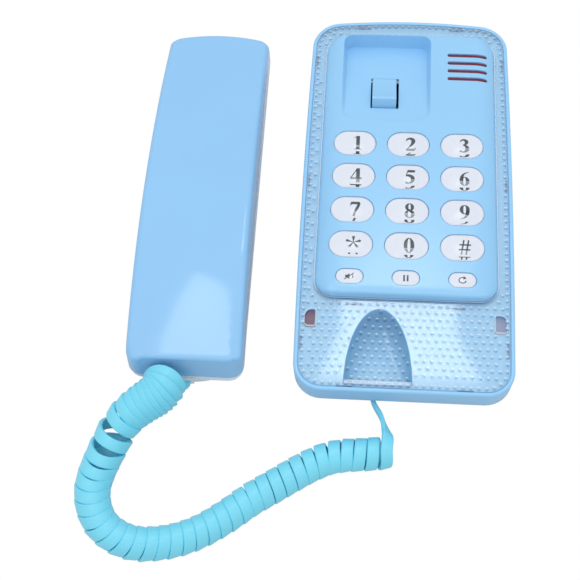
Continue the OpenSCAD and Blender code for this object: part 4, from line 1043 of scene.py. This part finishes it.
def handsetLoop():
    # rounded box, narrower toward the far end, whose end is an arc: y -= R - sqrt(R^2 - x^2)
    w, half = handset["width"] / 2, handset["length"] / 2
    near, far = handset["corner"], handset["farCorner"]
    x, y = evenLoop(corners(-w, w, -half, half, [near, far, far, near]), 1.4).T
    x = x * (1 - handset["taper"] / handset["width"] * (y + half) / (2 * half))
    x = x + handset["sway"] * np.clip(-y / half, 0, 1) ** 2
    r, run = handset["endRound"], handset["endRun"]
    return np.stack([x, y - (r - np.sqrt(r ** 2 - x ** 2)) * smooth((y - half + run) / run)], 1)


def arch(xy):
    # back of the handset, an arc of radius R along its length, z = height - R + sqrt(R^2 - (y - peak)^2),
    # and a very slight crown across it
    r, along = handset["archRadius"], xy[:, 1] - handset["peak"]
    return handset["height"] - r + np.sqrt(r ** 2 - along ** 2) - handset["crown"] * (xy[:, 0] / 25) ** 2


def handsetBack():
    # shell with a round shoulder, whose radius changes from the long sides to the ends
    skin = Skin()
    loop = handsetLoop()
    # how far each point's wall faces an end, from 0 on the long sides to 1
    far, near = (smooth(end * inward(loop)[:, 1] * 1.4 - 0.2) for end in (-1, 1))
    radius = (handset["edge"] + (handset["farEdge"] - handset["edge"]) * far
              + (handset["nearEdge"] - handset["edge"]) * near)
    # and how near it is to the softer corner
    (fromX, fromY), run = handset["softFrom"], handset["softRun"]
    soft = smooth((-loop[:, 1] - fromY) / run) * smooth((-loop[:, 0] - fromX) / run)
    foot = [(0.9 - soft, 0.25), (0.25 - soft, 0.1), (0.05 - soft, 0.3), (-soft, 0.8)]
    lean = handset["lean"] * near * (1 - soft)
    top = dome(skin, loop, foot, arch, radius + handset["softEdge"] * soft, 10, lean)
    plate(skin, top, [], arch, 3.0)
    skin.build("handsetBack", finishes["handset"], "handset", "handset_blue", ["handset_back_shell"],
               sharp=60, place=onHandset)


handsetBack()
print("handset made")


# the studio: brightness of the room, the lamps' height and the floor's size and level in mm
studio = {"low": 0.48, "high": 1.14, "lampHeight": 1500.0, "floorHalf": 3000, "floorLevel": -0.3}


def studioLight(low, high):
    # pale room, brighter overhead than at the height of the table: low + (high - low) * z
    f = Finish("studio", bpy.data.worlds.new("studio"))
    up = f.node("SeparateXYZ", {}, {0: f.node("TexCoord", output=generated)}, 2)
    up = f.node("Math", {"operation": "MAXIMUM"}, {0: up, 1: 0.0})
    glow = f.node("Background", {}, {"Color": (0.95, 0.975, 1.0, 1), "Strength": up * (high - low) + low})
    return f.finishWith(glow, "OutputWorld")


def glowing(name, strength):
    # plain white light
    f = Finish(name)
    return f.finishWith(f.node("Emission", {}, {"Color": (1, 1, 1, 1), "Strength": strength}))


def lampOutline(spots, height, place):
    # the spots are where a lamp's outline shows in a glossy surface, in pixels of the view; each ray from
    # the camera is mirrored by the surface, m = r - 2 (r.n) n, and followed up to the lamp
    right, up, back, at = (np.array(view[k]) for k in ("right", "up", "back", "at"))
    x, y = ((np.array(spots, float) - view["framePixels"] / 2) / view["focalPixels"]).T[:, :, None]
    origin = place(np.zeros((1, 3)))
    axes = place(np.eye(3)) - origin
    start, ray = (at - origin) @ axes.T, unit(x * right - y * up - back) @ axes.T
    reach = np.zeros((len(ray), 1))
    for _ in range(40):
        point = start + reach * ray
        reach -= (point[:, 2] - height(point[:, :2]))[:, None] / ray[:, 2:]
    normal = surfaceNormals(height, point[:, :2])
    mirrored = (ray - 2 * (ray * normal).sum(1, keepdims=True) * normal) @ axes
    point = point @ axes + origin
    return point + mirrored * (studio["lampHeight"] - point[:, 2:]) / mirrored[:, 2:]


bpy.context.scene.world = studioLight(studio["low"], studio["high"])

# two softboxes overhead: one shows in the clear cover, the other in the handset's back
softboxes = {
    "farSoftbox": {
        "strength": 7.5, "height": flat(cover), "place": onBase,
        "spots": [(341, 239), (456, 239), (457, 337), (482, 382), (318, 377), (340, 330)]},
    "nearSoftbox": {
        "strength": 4.2, "height": arch, "place": onHandset,
        "spots": [(196, 272), (207, 277), (221, 283), (227, 291), (231, 305), (234, 332),
                  (235, 372), (158, 372), (161, 342), (169, 320), (181, 295)]}}
for name, box in softboxes.items():
    points = lampOutline(box["spots"], box["height"], box["place"])
    lamp = makeMesh(name, points, [[list(range(len(points)))]], glowing(name + "Glow", box["strength"]))
    lamp.visible_camera = False


def paleFloor():
    # matt grey to the light and white to the camera
    f = Finish("paleFloor")
    lit = f.node("BsdfDiffuse", {}, {"Color": (0.72, 0.72, 0.72, 1)})
    white = f.node("Emission", {}, {"Color": (1, 1, 1, 1), "Strength": 1.0})
    return f.finishWith(f.node("MixShader", {}, {0: f.node("LightPath"), 1: lit, 2: white}))


half, level = studio["floorHalf"], studio["floorLevel"]
floorCorners = np.array([(x * half, y * half, level) for x, y in ((-1, -1), (1, -1), (1, 1), (-1, 1))])
floor = makeMesh("floor", floorCorners, [[[0, 1, 2, 3]]], paleFloor())

# finishes of the nodes that keep their own shapes
nodeFinishes = {
    "lower_shell": "base", "hook_pivot_pin": "steel", "hook_spring": "steel", "hook_switch": "black",
    "main_board": "board", "board_screws": "steel", "keypad_mat": "mat", "ringer_disc": "brass",
    "base_jack": "grey", "line_jack": "grey", "base_screws": "steel", "rubber_feet": "rubber",
    "handset_front_shell": "strip", "earpiece_receiver": "black", "microphone": "steel",
    "microphone_boot": "rubber", "handset_weight": "weight", "handset_screws": "steel",
    "handset_jack": "strip", "handset_plug": "strip", "base_plug": "plug"}
for name, finish in nodeFinishes.items():
    for material in nodes[name].material_slots:
        material.material = finishes[finish]
bpy.context.scene.view_settings.view_transform = "Standard"
